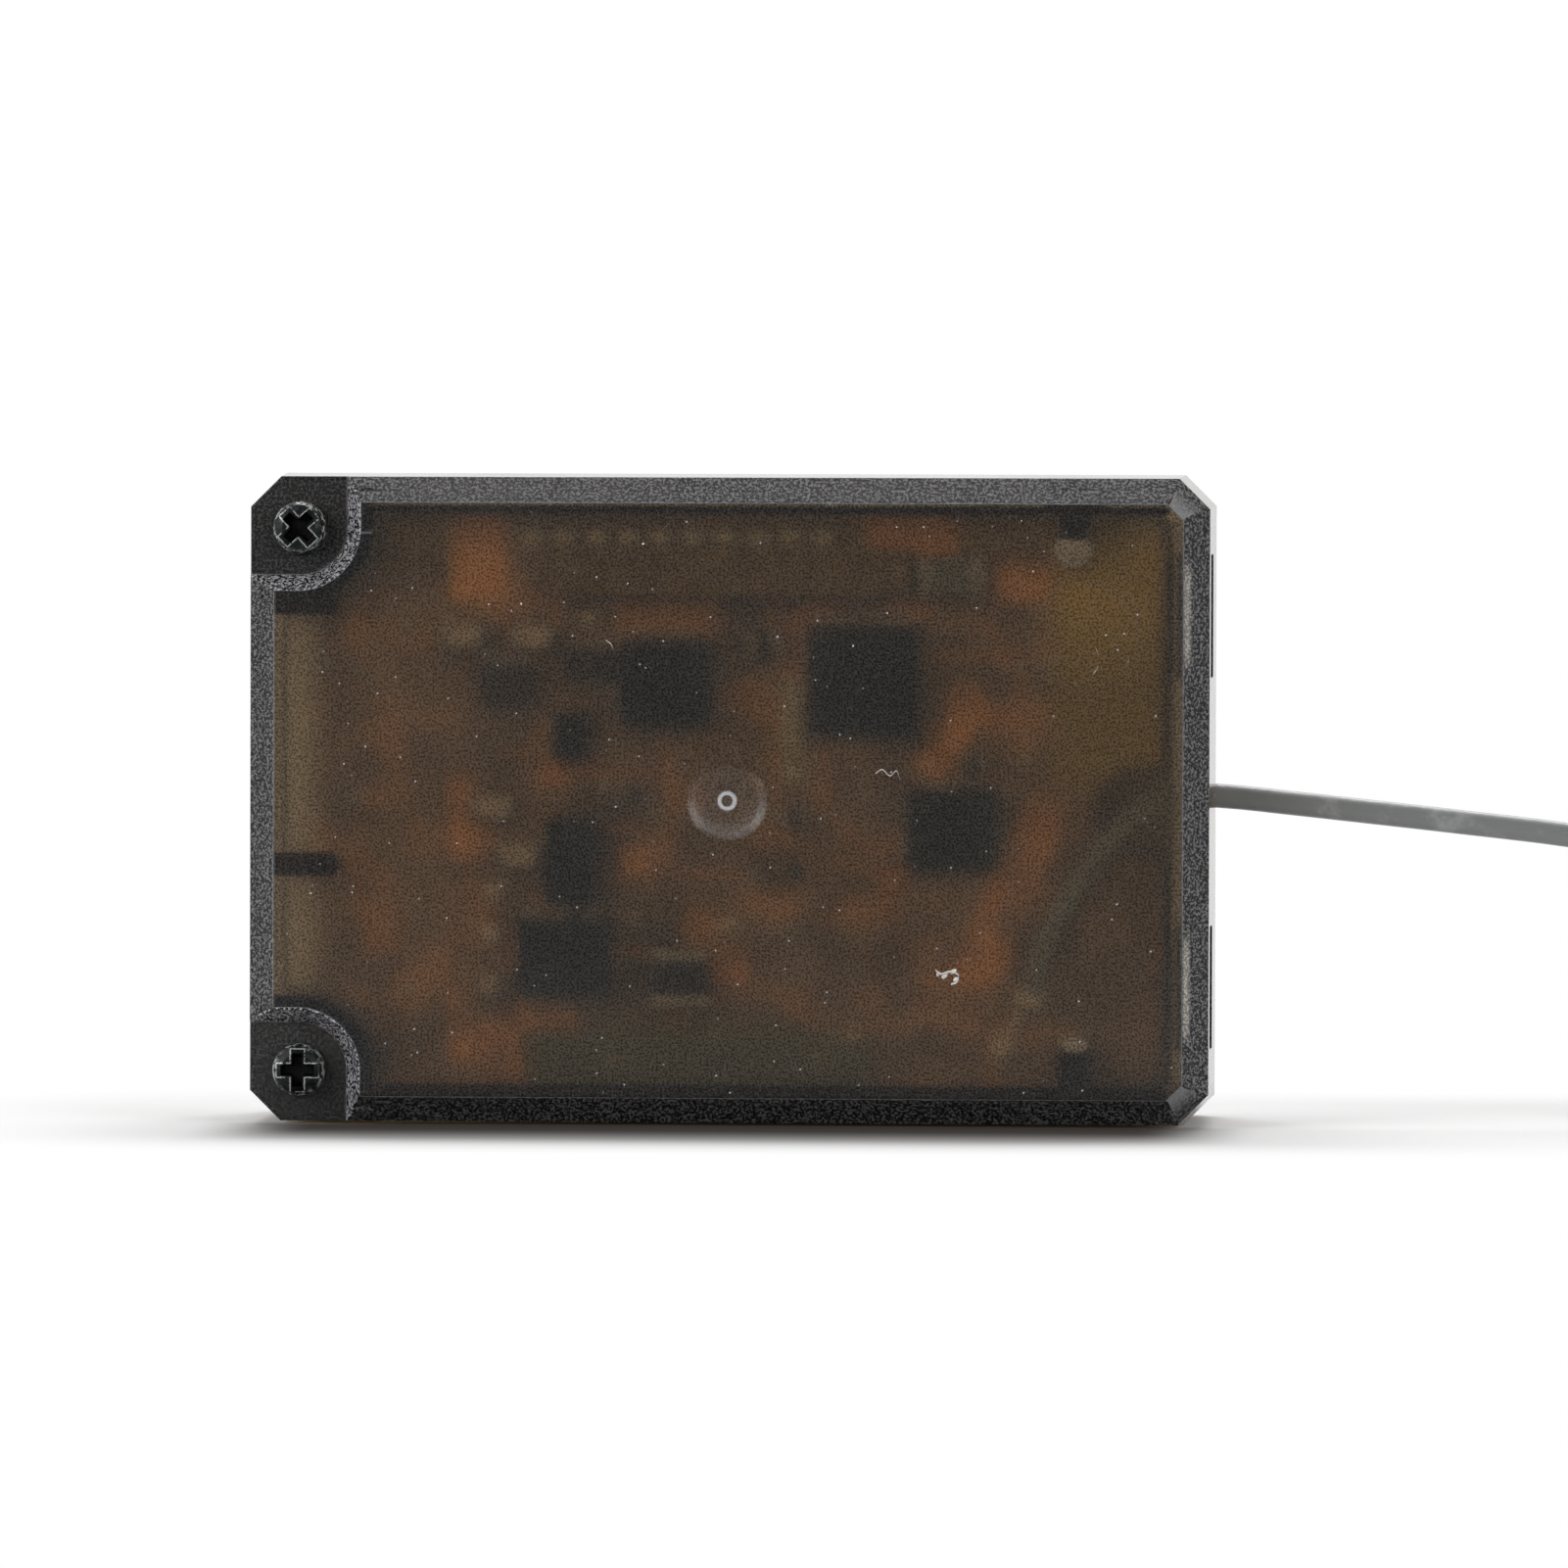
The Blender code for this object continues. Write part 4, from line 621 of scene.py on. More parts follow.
def blackened_steel():
    """Black oxide screw steel, worn bright round the rim of each head, with painted highlight
    lines and painted shade in the cross recess.
    """
    f = Finish("blackened_steel")
    place = f.place()
    x, y, z = f.axes(place)
    ragged = f.noise(place, 0.22, 3.0, 0.7)
    patches = f.noise(place, 0.26, 4.0, 0.7)
    distances, edges, hollows = [], [], []
    for name in SCREWS:
        middle = centre_of(name)
        across, up = x - middle.x, z - middle.z
        away = f.across(across, up)
        cos, sin = math.cos(SCREW_TURNS[name]), math.sin(SCREW_TURNS[name])
        wide, tall = abs(across * cos + up * sin), abs(up * cos - across * sin)
        cross = (wide - RECESS_REACH).higher(tall - RECESS_HALF).lower(
            (tall - RECESS_REACH).higher(wide - RECESS_HALF))
        # Painted highlight: a thin bright line along the edge of each cross recess
        line = f.fall(abs(cross - 0.03 * MM + (ragged - 0.5) * (0.07 * MM)), 0.008, 0.040)
        distances.append(away)
        edges.append(line * f.fall(away, 0.95, 1.10))
        hollows.append(cross)
    distance, edge, hollow = lowest(distances), highest(edges), lowest(hollows)
    rim = f.rise(distance + (ragged - 0.5) * (0.20 * MM), 0.82, 0.98)
    wear_and_highlight = rim * (0.04 + 0.96 * f.step(patches, 0.47, 0.58))
    # Painted highlight: the recess edge lines join the worn rim
    wear_and_highlight = wear_and_highlight.higher(edge * f.step(patches, 0.40, 0.52) * 0.85)
    top = f.rise(y, 0.03, 0.10, SCREW_TOP)
    face = f.mix(f.step(patches, 0.45, 0.70), (0.008, 0.010, 0.011), (0.045, 0.050, 0.050))
    colour = f.mix(wear_and_highlight, face, (0.40, 0.43, 0.42))
    # Painted shade: the cross recess near black, below the head's face and inside its outline
    colour = f.mix(top * (1.0 - rim) * (1.0 - edge), colour, (0.003, 0.003, 0.003))
    recess_shade = f.fall(hollow, -0.02, 0.01) * f.fall(distance, 0.9, 1.0)
    colour = f.mix(recess_shade, colour, (0.002, 0.002, 0.002))
    normal = f.bump(f.noise(place, 0.09, 3.0), 0.012 * MM, f.soft_edges(0.05 * MM))
    return f.close(f.plain(Base_Color=colour, Roughness=0.42 - 0.10 * wear_and_highlight,
                           Metallic=0.70 - 0.55 * wear_and_highlight, Normal=normal))


def board_mask(look):
    """Solder mask over the board, with bare laminate at the antenna's keep-out end, painted
    light at the other end and painted shade among the parts.
    """
    f = Finish("board_mask")
    place = f.place()
    x, _, z = f.axes(place)
    cloud = f.noise(place, 2.6, 4.0, 0.6)
    fine = f.noise(place, 0.7, 3.0)
    moved = f.node("Mapping", inputs={"Vector": place, "Location": (0.1, 0.2, 0.3)})
    warm = f.step(f.noise(moved, 2.1, 3.0), 0.52, 0.68)
    mask = f.mix(f.step(cloud * 0.7 + fine * 0.3, 0.36, 0.62), scaled(look.mask, 0.42),
                 tuple(look.mask))
    mask = f.mix(warm * 0.45, mask, tuple(look.copper))
    laminate = f.mix(f.rise(z, 16.5, 21.5), tuple(look.laminate), scaled(look.laminate, 1.9))
    colour = f.mix(f.rise(x, 11.6, 13.4) * f.rise(z, 12.0, 14.5), mask, laminate)
    colour = f.mix(0.45 * f.rise(z, 22.3, 22.8), colour, PAD_BAND)
    # Painted light: the board paler at the end away from the antenna, by the end wall
    colour = f.mix(0.85 * f.fall(x, -17.5, -15.6), colour, LIT_END_PAINT)
    # Painted shade in the darker places of the board
    for spot_x, spot_z, reach in BOARD_SHADE:
        away = f.across(x - spot_x * MM, z - spot_z * MM)
        colour = f.mix(f.fall(away, 0.35 * reach, reach) * 0.72, colour, SHADE_BROWN)
    low_middle = f.fall(z, 3.0, 5.0) * f.fall(abs(x + 1.2 * MM), 6.2, 7.4)
    colour = f.mix(low_middle, colour, LOW_GREEN)
    weave = f.noise(place, 0.25, 1.0)
    return f.close(f.plain(Base_Color=colour, Roughness=0.42 + 0.12 * fine,
                           Normal=f.bump(weave, 0.008 * MM)))


def copper_under_mask(name, look, share, patchy):
    """Copper that shows warm through its thin mask, more or less evenly."""
    f = Finish(name)
    place = f.place()
    cloud = f.step(f.noise(place, 1.3, 4.0, 0.65), 0.30, 0.58)
    thick = f.step(f.noise(place, 2.3, 3.0, 0.6), 0.42, 0.60)
    bright = scaled(look.copper, share)
    tone = f.mix(1.0 - (1.0 - cloud) * min(1.0, 1.2 * patchy), scaled(bright, 0.45), bright)
    tone = f.mix(thick * patchy, tone, scaled(look.mask, 0.75))
    return f.close(f.plain(Base_Color=tone, Roughness=0.38 + 0.10 * cloud, Metallic=0.0))


def mottled(name, colour, size, spread=0.25, roughness=0.5, metallic=0.0, relief=0.006,
            shine=0.5):
    """A moulded, fired or plated finish: one colour with fine variation and relief."""
    f = Finish(name)
    place = f.place()
    lumps = f.noise(place, size, 4.0, 0.6)
    tone = f.mix(f.step(lumps, 0.30, 0.70), scaled(colour, 1.0 - spread),
                 scaled(colour, 1.0 + spread))
    normal = f.bump(f.noise(place, size * 0.4, 2.0), relief * MM, f.soft_edges(0.03 * MM))
    return f.close(f.plain(Base_Color=tone, Roughness=roughness + 0.12 * (lumps - 0.5),
                           Metallic=metallic, Specular_IOR_Level=shine, Normal=normal))


def jacket_finish(look):
    """Soft grey jacket of the coax, faintly ribbed by the braid under it."""
    f = Finish("grey_jacket")
    place = f.place()
    braid = f.noise(place, 0.30, 2.0)
    scuff = f.step(f.noise(place, 1.4, 4.0, 0.7), 0.52, 0.74)
    colour = f.mix(scuff * 0.45, tuple(look.colour), scaled(look.colour, 2.1))
    return f.close(f.plain(Base_Color=colour, Roughness=0.40 + 0.15 * scuff,
                           Normal=f.bump(braid, 0.020 * MM)))


def placed(name, data):
    """Put an object in the scene."""
    made = bpy.data.objects.new(name, data)
    bpy.context.scene.collection.objects.link(made)
    return made


def piece(bm, name, material, smooth=True):
    """Turn a bmesh into a finished piece that rides on the receiver."""
    bmesh.ops.recalc_face_normals(bm, faces=bm.faces[:])
    mesh = bpy.data.meshes.new(name)
    bm.to_mesh(mesh)
    bm.free()
    mesh.materials.append(material)
    if smooth:
        mesh.shade_smooth()
        mesh.set_sharp_from_angle(angle=math.radians(40))
    made = placed(name, mesh)
    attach(made, BODY)
    return made


def dress(material, *names):
    """Give CAD nodes a finish."""
    for name in names:
        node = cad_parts[name]
        if not node.material_slots:
            node.data.materials.append(material)
        for held in node.material_slots:
            held.material = material


def soften(bm, edges, offset, segments=2):
    """Round off edges."""
    bmesh.ops.bevel(bm, geom=edges, offset=offset, segments=segments, profile=0.5,
                    affect="EDGES", material=-1)


def block(bm, centre, size, turn=0.0, edge=0.0):
    """Add a box, turned about Y, with its edges rounded off. Lengths are in metres."""
    place = (Matrix.Translation(centre) @ Matrix.Rotation(turn, 4, "Y")
             @ Matrix.Diagonal((*size, 1.0)))
    made = bmesh.ops.create_cube(bm, size=1.0, matrix=place)["verts"]
    if edge > 0:
        soften(bm, list({item for vertex in made for item in vertex.link_edges}), edge)


def plate(bm, area, y, thickness, edge=0.0):
    """Add a box over an area in millimetres: low x, high x, low z, high z."""
    low_x, high_x, low_z, high_z = area
    block(bm, ((low_x + high_x) / 2 * MM, y, (low_z + high_z) / 2 * MM),
          ((high_x - low_x) * MM, thickness, (high_z - low_z) * MM), edge=edge)


def disc(bm, centre, segments, wide, narrow, depth, stretch=(1.0, 1.0)):
    """Add a disc that faces along Y, and return its corners. Lengths are in metres."""
    place = (Matrix.Translation(centre) @ Matrix.Diagonal((stretch[0], 1.0, stretch[1], 1.0))
             @ Matrix.Rotation(math.radians(90), 4, "X"))
    return bmesh.ops.create_cone(bm, cap_ends=True, segments=segments, radius1=wide,
                                 radius2=narrow, depth=depth, matrix=place)["verts"]


def dome(bm, centre, radius, height):
    """Add a flattened ball, of which half stands out of the board."""
    place = Matrix.Translation(centre) @ Matrix.Diagonal((radius, height, radius, 1.0))
    bmesh.ops.create_uvsphere(bm, u_segments=14, v_segments=8, radius=1.0, matrix=place)


def strip(bm, start, end, width, y, rise):
    """Add a flat strip of copper between two points of the board, in millimetres."""
    run = Vector((end[0] - start[0], 0.0, end[1] - start[1]))
    middle = Vector(((start[0] + end[0]) / 2, 0.0, (start[1] + end[1]) / 2)) * MM
    middle.y = y
    turn = -math.atan2(run.z, run.x)
    block(bm, middle, ((run.length + width) * MM, rise * MM, width * MM), turn)


class ReceiverPart:
    """What the operators share."""

    bl_options = {"REGISTER", "UNDO"}


def add_camera(context, look):
    back = Vector((math.sin(look.yaw) * math.cos(look.elevation),
                   -math.cos(look.yaw) * math.cos(look.elevation),
                   math.sin(look.elevation)))
    data = bpy.data.cameras.new("camera")
    data.sensor_width = 36.0
    data.lens = look.lens
    data.clip_start = 0.01
    camera = placed("camera", data)
    camera.rotation_mode = "QUATERNION"
    camera.location = Vector(look.target) + back * look.distance
    upright = (-back).to_track_quat("-Z", "Y").to_matrix()
    camera.rotation_quaternion = (upright @ Matrix.Rotation(-look.roll, 3, "Z")
                                  ).to_quaternion()
    context.scene.camera = camera


def add_world(context):
    """White where it is seen, and a soft studio with a dim camera side as light."""
    world = bpy.data.worlds.new("studio")
    context.scene.world = world
    f = Finish("studio", world)
    _, y, z = f.axes(f.node("TexCoord", output="Generated"))
    front = f.step(0.0 - y, 0.05, 0.65)
    studio = 0.42 + 0.13 * f.step(z, 0.0, 0.9)
    seen = f.node("LightPath", output="Is Camera Ray").higher(
        f.node("LightPath", output="Is Transmission Ray"))
    glossy = f.node("LightPath", output="Is Glossy Ray")
    high = front * f.step(z, 0.15, 0.50)
    level = ((studio + glossy * 0.55) * (1.0 - glossy * front * 0.95)
             * (1.0 - (1.0 - glossy) * high * 0.85))
    strength = seen + (1.0 - seen) * level
    return f.close(f.node("Background", inputs={"Color": (1.0, 1.0, 1.0),
                                                "Strength": strength}))


def add_floor():
    f = Finish("pale_floor")
    seen = f.node("LightPath", output="Is Camera Ray")
    glossy = f.node("LightPath", output="Is Glossy Ray").higher(
        f.node("LightPath", output="Is Transmission Ray"))
    white = f.node("Emission", inputs={"Color": (1.0, 1.0, 1.0), "Strength": 1.0})
    x, y, _ = f.axes(f.place())
    beyond = f.across((abs(x - FLOOR_MIDDLE) - FLOOR_REACH).higher(0.0),
                      (abs(y) - FLOOR_DEPTH).higher(0.0))
    behind, ahead = f.rise(y, 20, 60), 0.0 - y
    front = f.rise(ahead, 10, 60)
    # Painted shadow: the floor much darker for a short way in front of the case
    painted_shadow = f.fall(ahead, 8, 22) * f.rise(ahead, 3, 6) * f.fall(abs(x), 16, 21)
    # Painted shade: for all but camera rays the floor in front of the case is dark, so the case
    # reflects and gets back little from there
    colour = f.mix(front * (1.0 - seen), (0.76, 0.76, 0.76), (0.14, 0.14, 0.14))
    colour = f.mix(painted_shadow, colour, (0.085, 0.077, 0.072))
    matt = f.node("BsdfDiffuse", inputs={"Color": colour})
    far = (seen * f.rise(beyond, 8, 21)).higher(glossy * behind * (1.0 - seen))
    material = f.close(f.node("MixShader", inputs={0: far, 1: matt, 2: white}))
    bm = bmesh.new()
    bmesh.ops.create_grid(bm, x_segments=4, y_segments=4, size=3.0)
    mesh = bpy.data.meshes.new("floor")
    bm.to_mesh(mesh)
    bm.free()
    mesh.materials.append(material)
    placed("floor", mesh)


def add_lamp(name, place, size, power):
    data = bpy.data.lights.new(name, "AREA")
    data.shape = "DISK"
    data.size = size
    data.energy = power
    lamp = placed(name, data)
    lamp.location = place
    lamp.rotation_mode = "QUATERNION"
    lamp.rotation_quaternion = (-Vector(place)).to_track_quat("-Z", "Y")


class RECEIVER_OT_stage(ReceiverPart, bpy.types.Operator):
    """Make the floor, the soft light, the world and the camera"""

    bl_idname = "receiver.stage"
    bl_label = "Studio"

    def execute(self, context):
        look = context.scene.receiver_stage
        context.scene.view_settings.view_transform = "Standard"
        add_camera(context, look)
        add_world(context)
        add_floor()
        for name, place, size, share in LIGHTS:
            add_lamp(name, place, size, look.light * share)
        return {"FINISHED"}


def catmull_rom(points, steps):
    """Return points on a smooth curve through a route."""
    padded = [2 * points[0] - points[1]] + points + [2 * points[-1] - points[-2]]
    smooth = [points[0]]
    for a, b, c, d in zip(padded, padded[1:], padded[2:], padded[3:]):
        for step in range(1, steps + 1):
            t = step / steps
            smooth.append(0.5 * (2 * b + (c - a) * t + (2 * a - 5 * b + 4 * c - d) * t ** 2
                                 + (3 * b - a - 3 * c + d) * t ** 3))
    return smooth


def evenly(points, spacing, length):
    """Return points an even distance apart along a route, up to a length."""
    kept, travelled, next_stop = [points[0]], 0.0, spacing
    for start, end in zip(points, points[1:]):
        run = (end - start).length
        while travelled + run >= next_stop and next_stop <= length:
            kept.append(start.lerp(end, (next_stop - travelled) / run))
            next_stop += spacing
        travelled += run
    return kept


def antenna_route(look):
    """Return the wire's line: out of the wall, down, and round its coil."""
    coil = Vector((CASE_END + COIL_REACH, EXIT_Y + COIL_ASIDE, 0.0))
    points = [Vector((CASE_END - WIRE_START, EXIT_Y, EXIT_Z)),
              Vector((CASE_END, EXIT_Y, EXIT_Z))]
    points += [Vector((CASE_END + out * MM, EXIT_Y + aside * MM, EXIT_Z * level))
               for out, aside, level in LEAD_ROUTE]
    high = EXIT_Z * DROP_LEVEL
    for step in range(DROP_STEPS + 1):
        share = step / DROP_STEPS
        angle = math.radians(DROP_START + DROP_TURN * share)
        height = high + (DROP_END - high) * share * share * (3 - 2 * share)
        points.append(coil + Vector((look.coil * math.cos(angle),
                                     look.coil * math.sin(angle), height)))
    smooth = catmull_rom(points, 12)
    for (low, wide, raised), (high_angle, wide_end, raised_end) in zip(
            COIL_STAGES, COIL_STAGES[1:]):
        steps = max(2, round((high_angle - low) / COIL_STEP))
        for step in range(1, steps + 1):
            share = step / steps
            ease = share * share * (3 - 2 * share)
            angle = math.radians(low + (high_angle - low) * share)
            radius = look.coil + (wide + (wide_end - wide) * ease) * MM
            height = (raised + (raised_end - raised) * ease) * MM
            smooth.append(coil + Vector((radius * math.cos(angle),
                                         radius * math.sin(angle), height)))
    return evenly(smooth, WIRE_SPACING, look.length)


def wire(name, points, radii, material):
    """A round wire: one smooth open curve through its points."""
    curve = bpy.data.curves.new(name, "CURVE")
    curve.dimensions = "3D"
    curve.resolution_u = 4
    curve.bevel_depth = 1.0
    curve.bevel_resolution = 4
    curve.use_fill_caps = True
    spline = curve.splines.new("BEZIER")
    spline.bezier_points.add(len(points) - 1)
    for knot, place, radius in zip(spline.bezier_points, points, radii):
        knot.co = place
        knot.radius = radius
        knot.handle_left_type = knot.handle_right_type = "AUTO"
    curve.materials.append(material)
    made = placed(name, curve)
    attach(made, BODY)
    return made


def add_saddle():
    """Put the saddle under the coax, which shows through the board's notch."""
    bm = bmesh.new()
    plate(bm, SADDLE, EXIT_Y + SADDLE_DROP, SADDLE_THICKNESS, edge=0.1 * MM)
    piece(bm, "coax_saddle", mottled("saddle_plastic", (0.34, 0.27, 0.17), 0.8, 0.25, 0.6))


def add_tie(look):
    width, long, height = TIE_SIZE
    angle = math.radians(TIE_ANGLE)
    centre = Vector((CASE_END + COIL_REACH + look.coil * math.cos(angle),
                     EXIT_Y + COIL_ASIDE + look.coil * math.sin(angle), height / 2))
    bm = bmesh.new()
    bmesh.ops.create_cube(bm, size=1.0)
    ends = [f for f in bm.faces if abs(f.calc_center_median().y) > 0.4]
    bmesh.ops.delete(bm, geom=ends, context="FACES_ONLY")
    bmesh.ops.scale(bm, vec=(width, long, height), verts=bm.verts[:])
    runs = [e for e in bm.edges
            if abs((e.verts[0].co - e.verts[1].co).y) > long * 0.9]
    soften(bm, runs, TIE_BEND, 5)
    bmesh.ops.recalc_face_normals(bm, faces=bm.faces[:])
    bmesh.ops.solidify(bm, geom=bm.faces[:], thickness=TIE_THICKNESS)
    turn = Matrix.Translation(centre) @ Matrix.Rotation(angle, 4, "Z")
    bmesh.ops.transform(bm, matrix=turn, verts=bm.verts[:])
    black = mottled("tie_black", (0.03, 0.03, 0.032), 0.5, 0.2, 0.5)
    return piece(bm, "coil_tie", black)


class RECEIVER_OT_antenna(ReceiverPart, bpy.types.Operator):
    """Lay the free antenna wire, its bared tip and the tie round its coil"""

    bl_idname = "receiver.antenna"
    bl_label = "Antenna wire"

    def execute(self, context):
        look = context.scene.receiver_antenna
        jacket = jacket_finish(look)
        radius = look.diameter / 2
        points = antenna_route(look)
        bared = round(look.tip / WIRE_SPACING)
        jacketed = len(points) - bared
        radii = [radius] * jacketed + [radius * 0.36] * bared
        lead = wire("antenna_wire", points, radii, jacket)
        white = mottled("tip_insulation", (0.70, 0.68, 0.62), 0.6, 0.06, 0.35)
        tip = wire("antenna_tip", points[jacketed - 1:-1],
                   [radius * 0.64] * bared, white)
        tie = add_tie(look)
        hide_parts("antenna_lead", "antenna_coil")
        dress(mottled("inner_coax", (0.25, 0.26, 0.26), 0.7, 0.2, 0.45), "antenna_inner_coax")
        add_saddle()
        return {"FINISHED"}


def add_lips():
    """Stand a near-black lip in the gap between the board and each long wall, and a block in
    each rib's middle: painted shade.
    """
    bm = bmesh.new()
    left, right = LIP_ENDS
    for start, end, z in ((left, right, BOARD_HIGH.z + LIP_GAP + LIP_THICKNESS / 2),
                          (left, right, BOARD_LOW.z - LIP_GAP - LIP_THICKNESS / 2)):
        block(bm, ((start + end) / 2, (LIP_LOW + BOARD_FAR) / 2, z),
              (end - start, BOARD_FAR - LIP_LOW, LIP_THICKNESS))
    for core in RIB_CORES:
        plate(bm, core, (POST_TOP + BOARD_NEAR) / 2, BOARD_NEAR - POST_TOP)
    piece(bm, "case_inner_lips", mottled("painted_shade_black", (0.018, 0.015, 0.013), 0.5),
          smooth=False)


def add_posts():
    """Cap the locating ribs' rounded ends with pale pieces: painted light where the case lets
    light through.
    """
    bm = bmesh.new()
    for x, z, wide, high in POST_ENDS:
        made = disc(bm, (x * MM, (POST_TOP + BOARD_NEAR) / 2, z * MM), 24, MM, MM,
                    BOARD_NEAR - POST_TOP, (wide, high))
        ends = {item for vertex in made for item in vertex.link_edges
                if abs(item.verts[0].co.y - item.verts[1].co.y) < 0.01 * MM}
        soften(bm, list(ends), 0.08 * MM)
    piece(bm, "rib_ends", mottled("lit_smoke", (0.56, 0.57, 0.58), 0.4, 0.06, 0.6))


def add_lint():
    """Lay a few hairs and crumbs of dust on the lid."""
    bm = bmesh.new()
    for points, radius in LINT:
        line = catmull_rom([Vector((px * MM, LID_Y - radius * MM, pz * MM))
                            for px, pz in points], 4)
        add_hair(bm, line, radius * MM)
    for x, z, size in CRUMBS:
        place = (Matrix.Translation((x * MM, LID_Y - 0.01 * MM, z * MM))
                 @ Matrix.Rotation(x, 4, "Y"))
        bmesh.ops.create_icosphere(bm, subdivisions=1, radius=size * MM, matrix=place
                                   @ Matrix.Diagonal((1.0, 0.25, 0.6, 1.0)))
    piece(bm, "lid_lint", mottled("lint", (0.60, 0.59, 0.56), 0.2, 0.1, 0.8))


def add_hair(bm, line, radius):
    """Sweep a small round section along a line on the lid."""
    turn = Matrix.Rotation(math.radians(90), 4, "Y")
    made = bmesh.ops.create_circle(bm, cap_ends=True, segments=6, radius=radius,
                                   matrix=Matrix.Translation(line[0]) @ turn)
    end = [made["verts"][0].link_faces[0]]
    for here, there in zip(line, line[1:]):
        swept = bmesh.ops.extrude_face_region(bm, geom=end)["geom"]
        verts = [item for item in swept if isinstance(item, bmesh.types.BMVert)]
        bmesh.ops.translate(bm, vec=there - here, verts=verts)
        if here is not line[0]:
            bmesh.ops.delete(bm, geom=end, context="FACES_ONLY")
        end = [item for item in swept if isinstance(item, bmesh.types.BMFace)]


class RECEIVER_OT_case(ReceiverPart, bpy.types.Operator):
    """Finish the two moulded halves of the case"""

    bl_idname = "receiver.case"
    bl_label = "Case"

    def execute(self, context):
        plastic = smoky_plastic(context.scene.receiver_case)
        dress(plastic, "bottom_shell", "top_shell")
        add_lips()
        add_posts()
        add_lint()
        return {"FINISHED"}


class RECEIVER_OT_screws(ReceiverPart, bpy.types.Operator):
    """Finish the case screws"""

    bl_idname = "receiver.screws"
    bl_label = "Case screws"

    def execute(self, context):
        dress(blackened_steel(), *SCREWS)
        return {"FINISHED"}


def add_copper(look):
    # The bright copy is partly painted light: full, even copper on the upper board, where less
    # light reaches
    for name, pours, bands, share, patchy in (
            ("bright_copper", BRIGHT_POURS, (), 1.0, 0.15),
            ("copper", COPPER_POURS, COPPER_BANDS, 0.92, 0.80),
            ("dull_copper", DULL_POURS, (), 0.68, 0.40)):
        bm = bmesh.new()
        for pour in pours:
            plate(bm, pour, BOARD_NEAR, COPPER_RISE * MM, edge=0.008 * MM)
        for index, (start, end, width) in enumerate(bands):
            strip(bm, start, end, width, BOARD_NEAR, COPPER_RISE + index * STAGGER)
        piece(bm, "board_" + name, copper_under_mask(name, look, share, patchy),
              smooth=False)


def add_tracks(look):
    bm = bmesh.new()
    for route in TRACKS:
        for index, (start, end) in enumerate(zip(route, route[1:])):
            strip(bm, start, end, TRACK_WIDTH, BOARD_NEAR, TRACK_RISE - index * 0.1 * STAGGER)
    tone = tuple(0.6 * part + 0.04 for part in look.copper)
    piece(bm, "board_tracks", mottled("track_copper", tone, 0.8),
          smooth=False)
    bm = bmesh.new()
    for x, z in VIAS:
        disc(bm, (x * MM, BOARD_NEAR - 0.012 * MM, z * MM), 16, VIA_RIM, VIA_HOLE,
             0.03 * MM)
    piece(bm, "board_vias", mottled("via_tin", (0.60, 0.56, 0.48), 0.3, 0.2, 0.35, 0.9))


def add_solder():
    bm = bmesh.new()
    row = PAD_ROW
    for index in range(row["count"]):
        x = row["first"] + index * row["pitch"]
        dome(bm, (x * MM, BOARD_NEAR, row["level"] * MM), row["radius"] * MM, PAD_HEIGHT)
    for x, z, radius in SOLDER_SPOTS:
        dome(bm, (x * MM, BOARD_NEAR, z * MM), radius * MM, radius * SOLDER_HEIGHT * MM)
    piece(bm, "board_solder",
          mottled("solder", (0.88, 0.80, 0.66), 0.5, 0.12, 0.42, 0.1))


def add_legend():
    bm = bmesh.new()
    for bar in LEGEND_BARS:
        plate(bm, bar, BOARD_NEAR, LEGEND_RISE)
    piece(bm, "board_legend", mottled("pale_ink", (0.62, 0.57, 0.45), 0.5, 0.15, 0.6),
          smooth=False)


class RECEIVER_OT_board(ReceiverPart, bpy.types.Operator):
    """Lay the board's mask, copper, vias, pads and solder"""

    bl_idname = "receiver.board"
    bl_label = "Circuit board"

    def execute(self, context):
        look = context.scene.receiver_board
        dress(board_mask(look), "circuit_board")
        add_copper(look)
        add_tracks(look)
        add_solder()
        add_legend()
        return {"FINISHED"}


def add_leads(bm, name, on_x, on_z, count, pitch, width=LEAD_WIDTH):
    """Add a row of leads to the sides that face along X, along Z, or both."""
    low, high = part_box(name)
    middle = (low + high) / 2
    y = BOARD_NEAR if middle.y < BOARD_NEAR else BOARD_FAR
    y += math.copysign(LEAD_THICKNESS / 2 * MM, middle.y - y)
    long = (LEAD_REACH + LEAD_SINK) * MM
    out = (LEAD_REACH - LEAD_SINK) / 2 * MM
    for index in range(count):
        offset = (index - (count - 1) / 2) * pitch * MM
        if on_x:
            for edge, side in ((low.x, -1), (high.x, 1)):
                block(bm, (edge + side * out, y, middle.z + offset),
                      (long, LEAD_THICKNESS * MM, width * MM), edge=0.025 * MM)
        if on_z:
            for edge, side in ((low.z, -1), (high.z, 1)):
                block(bm, (middle.x + offset, y, edge + side * out),
                      (width * MM, LEAD_THICKNESS * MM, long), edge=0.025 * MM)


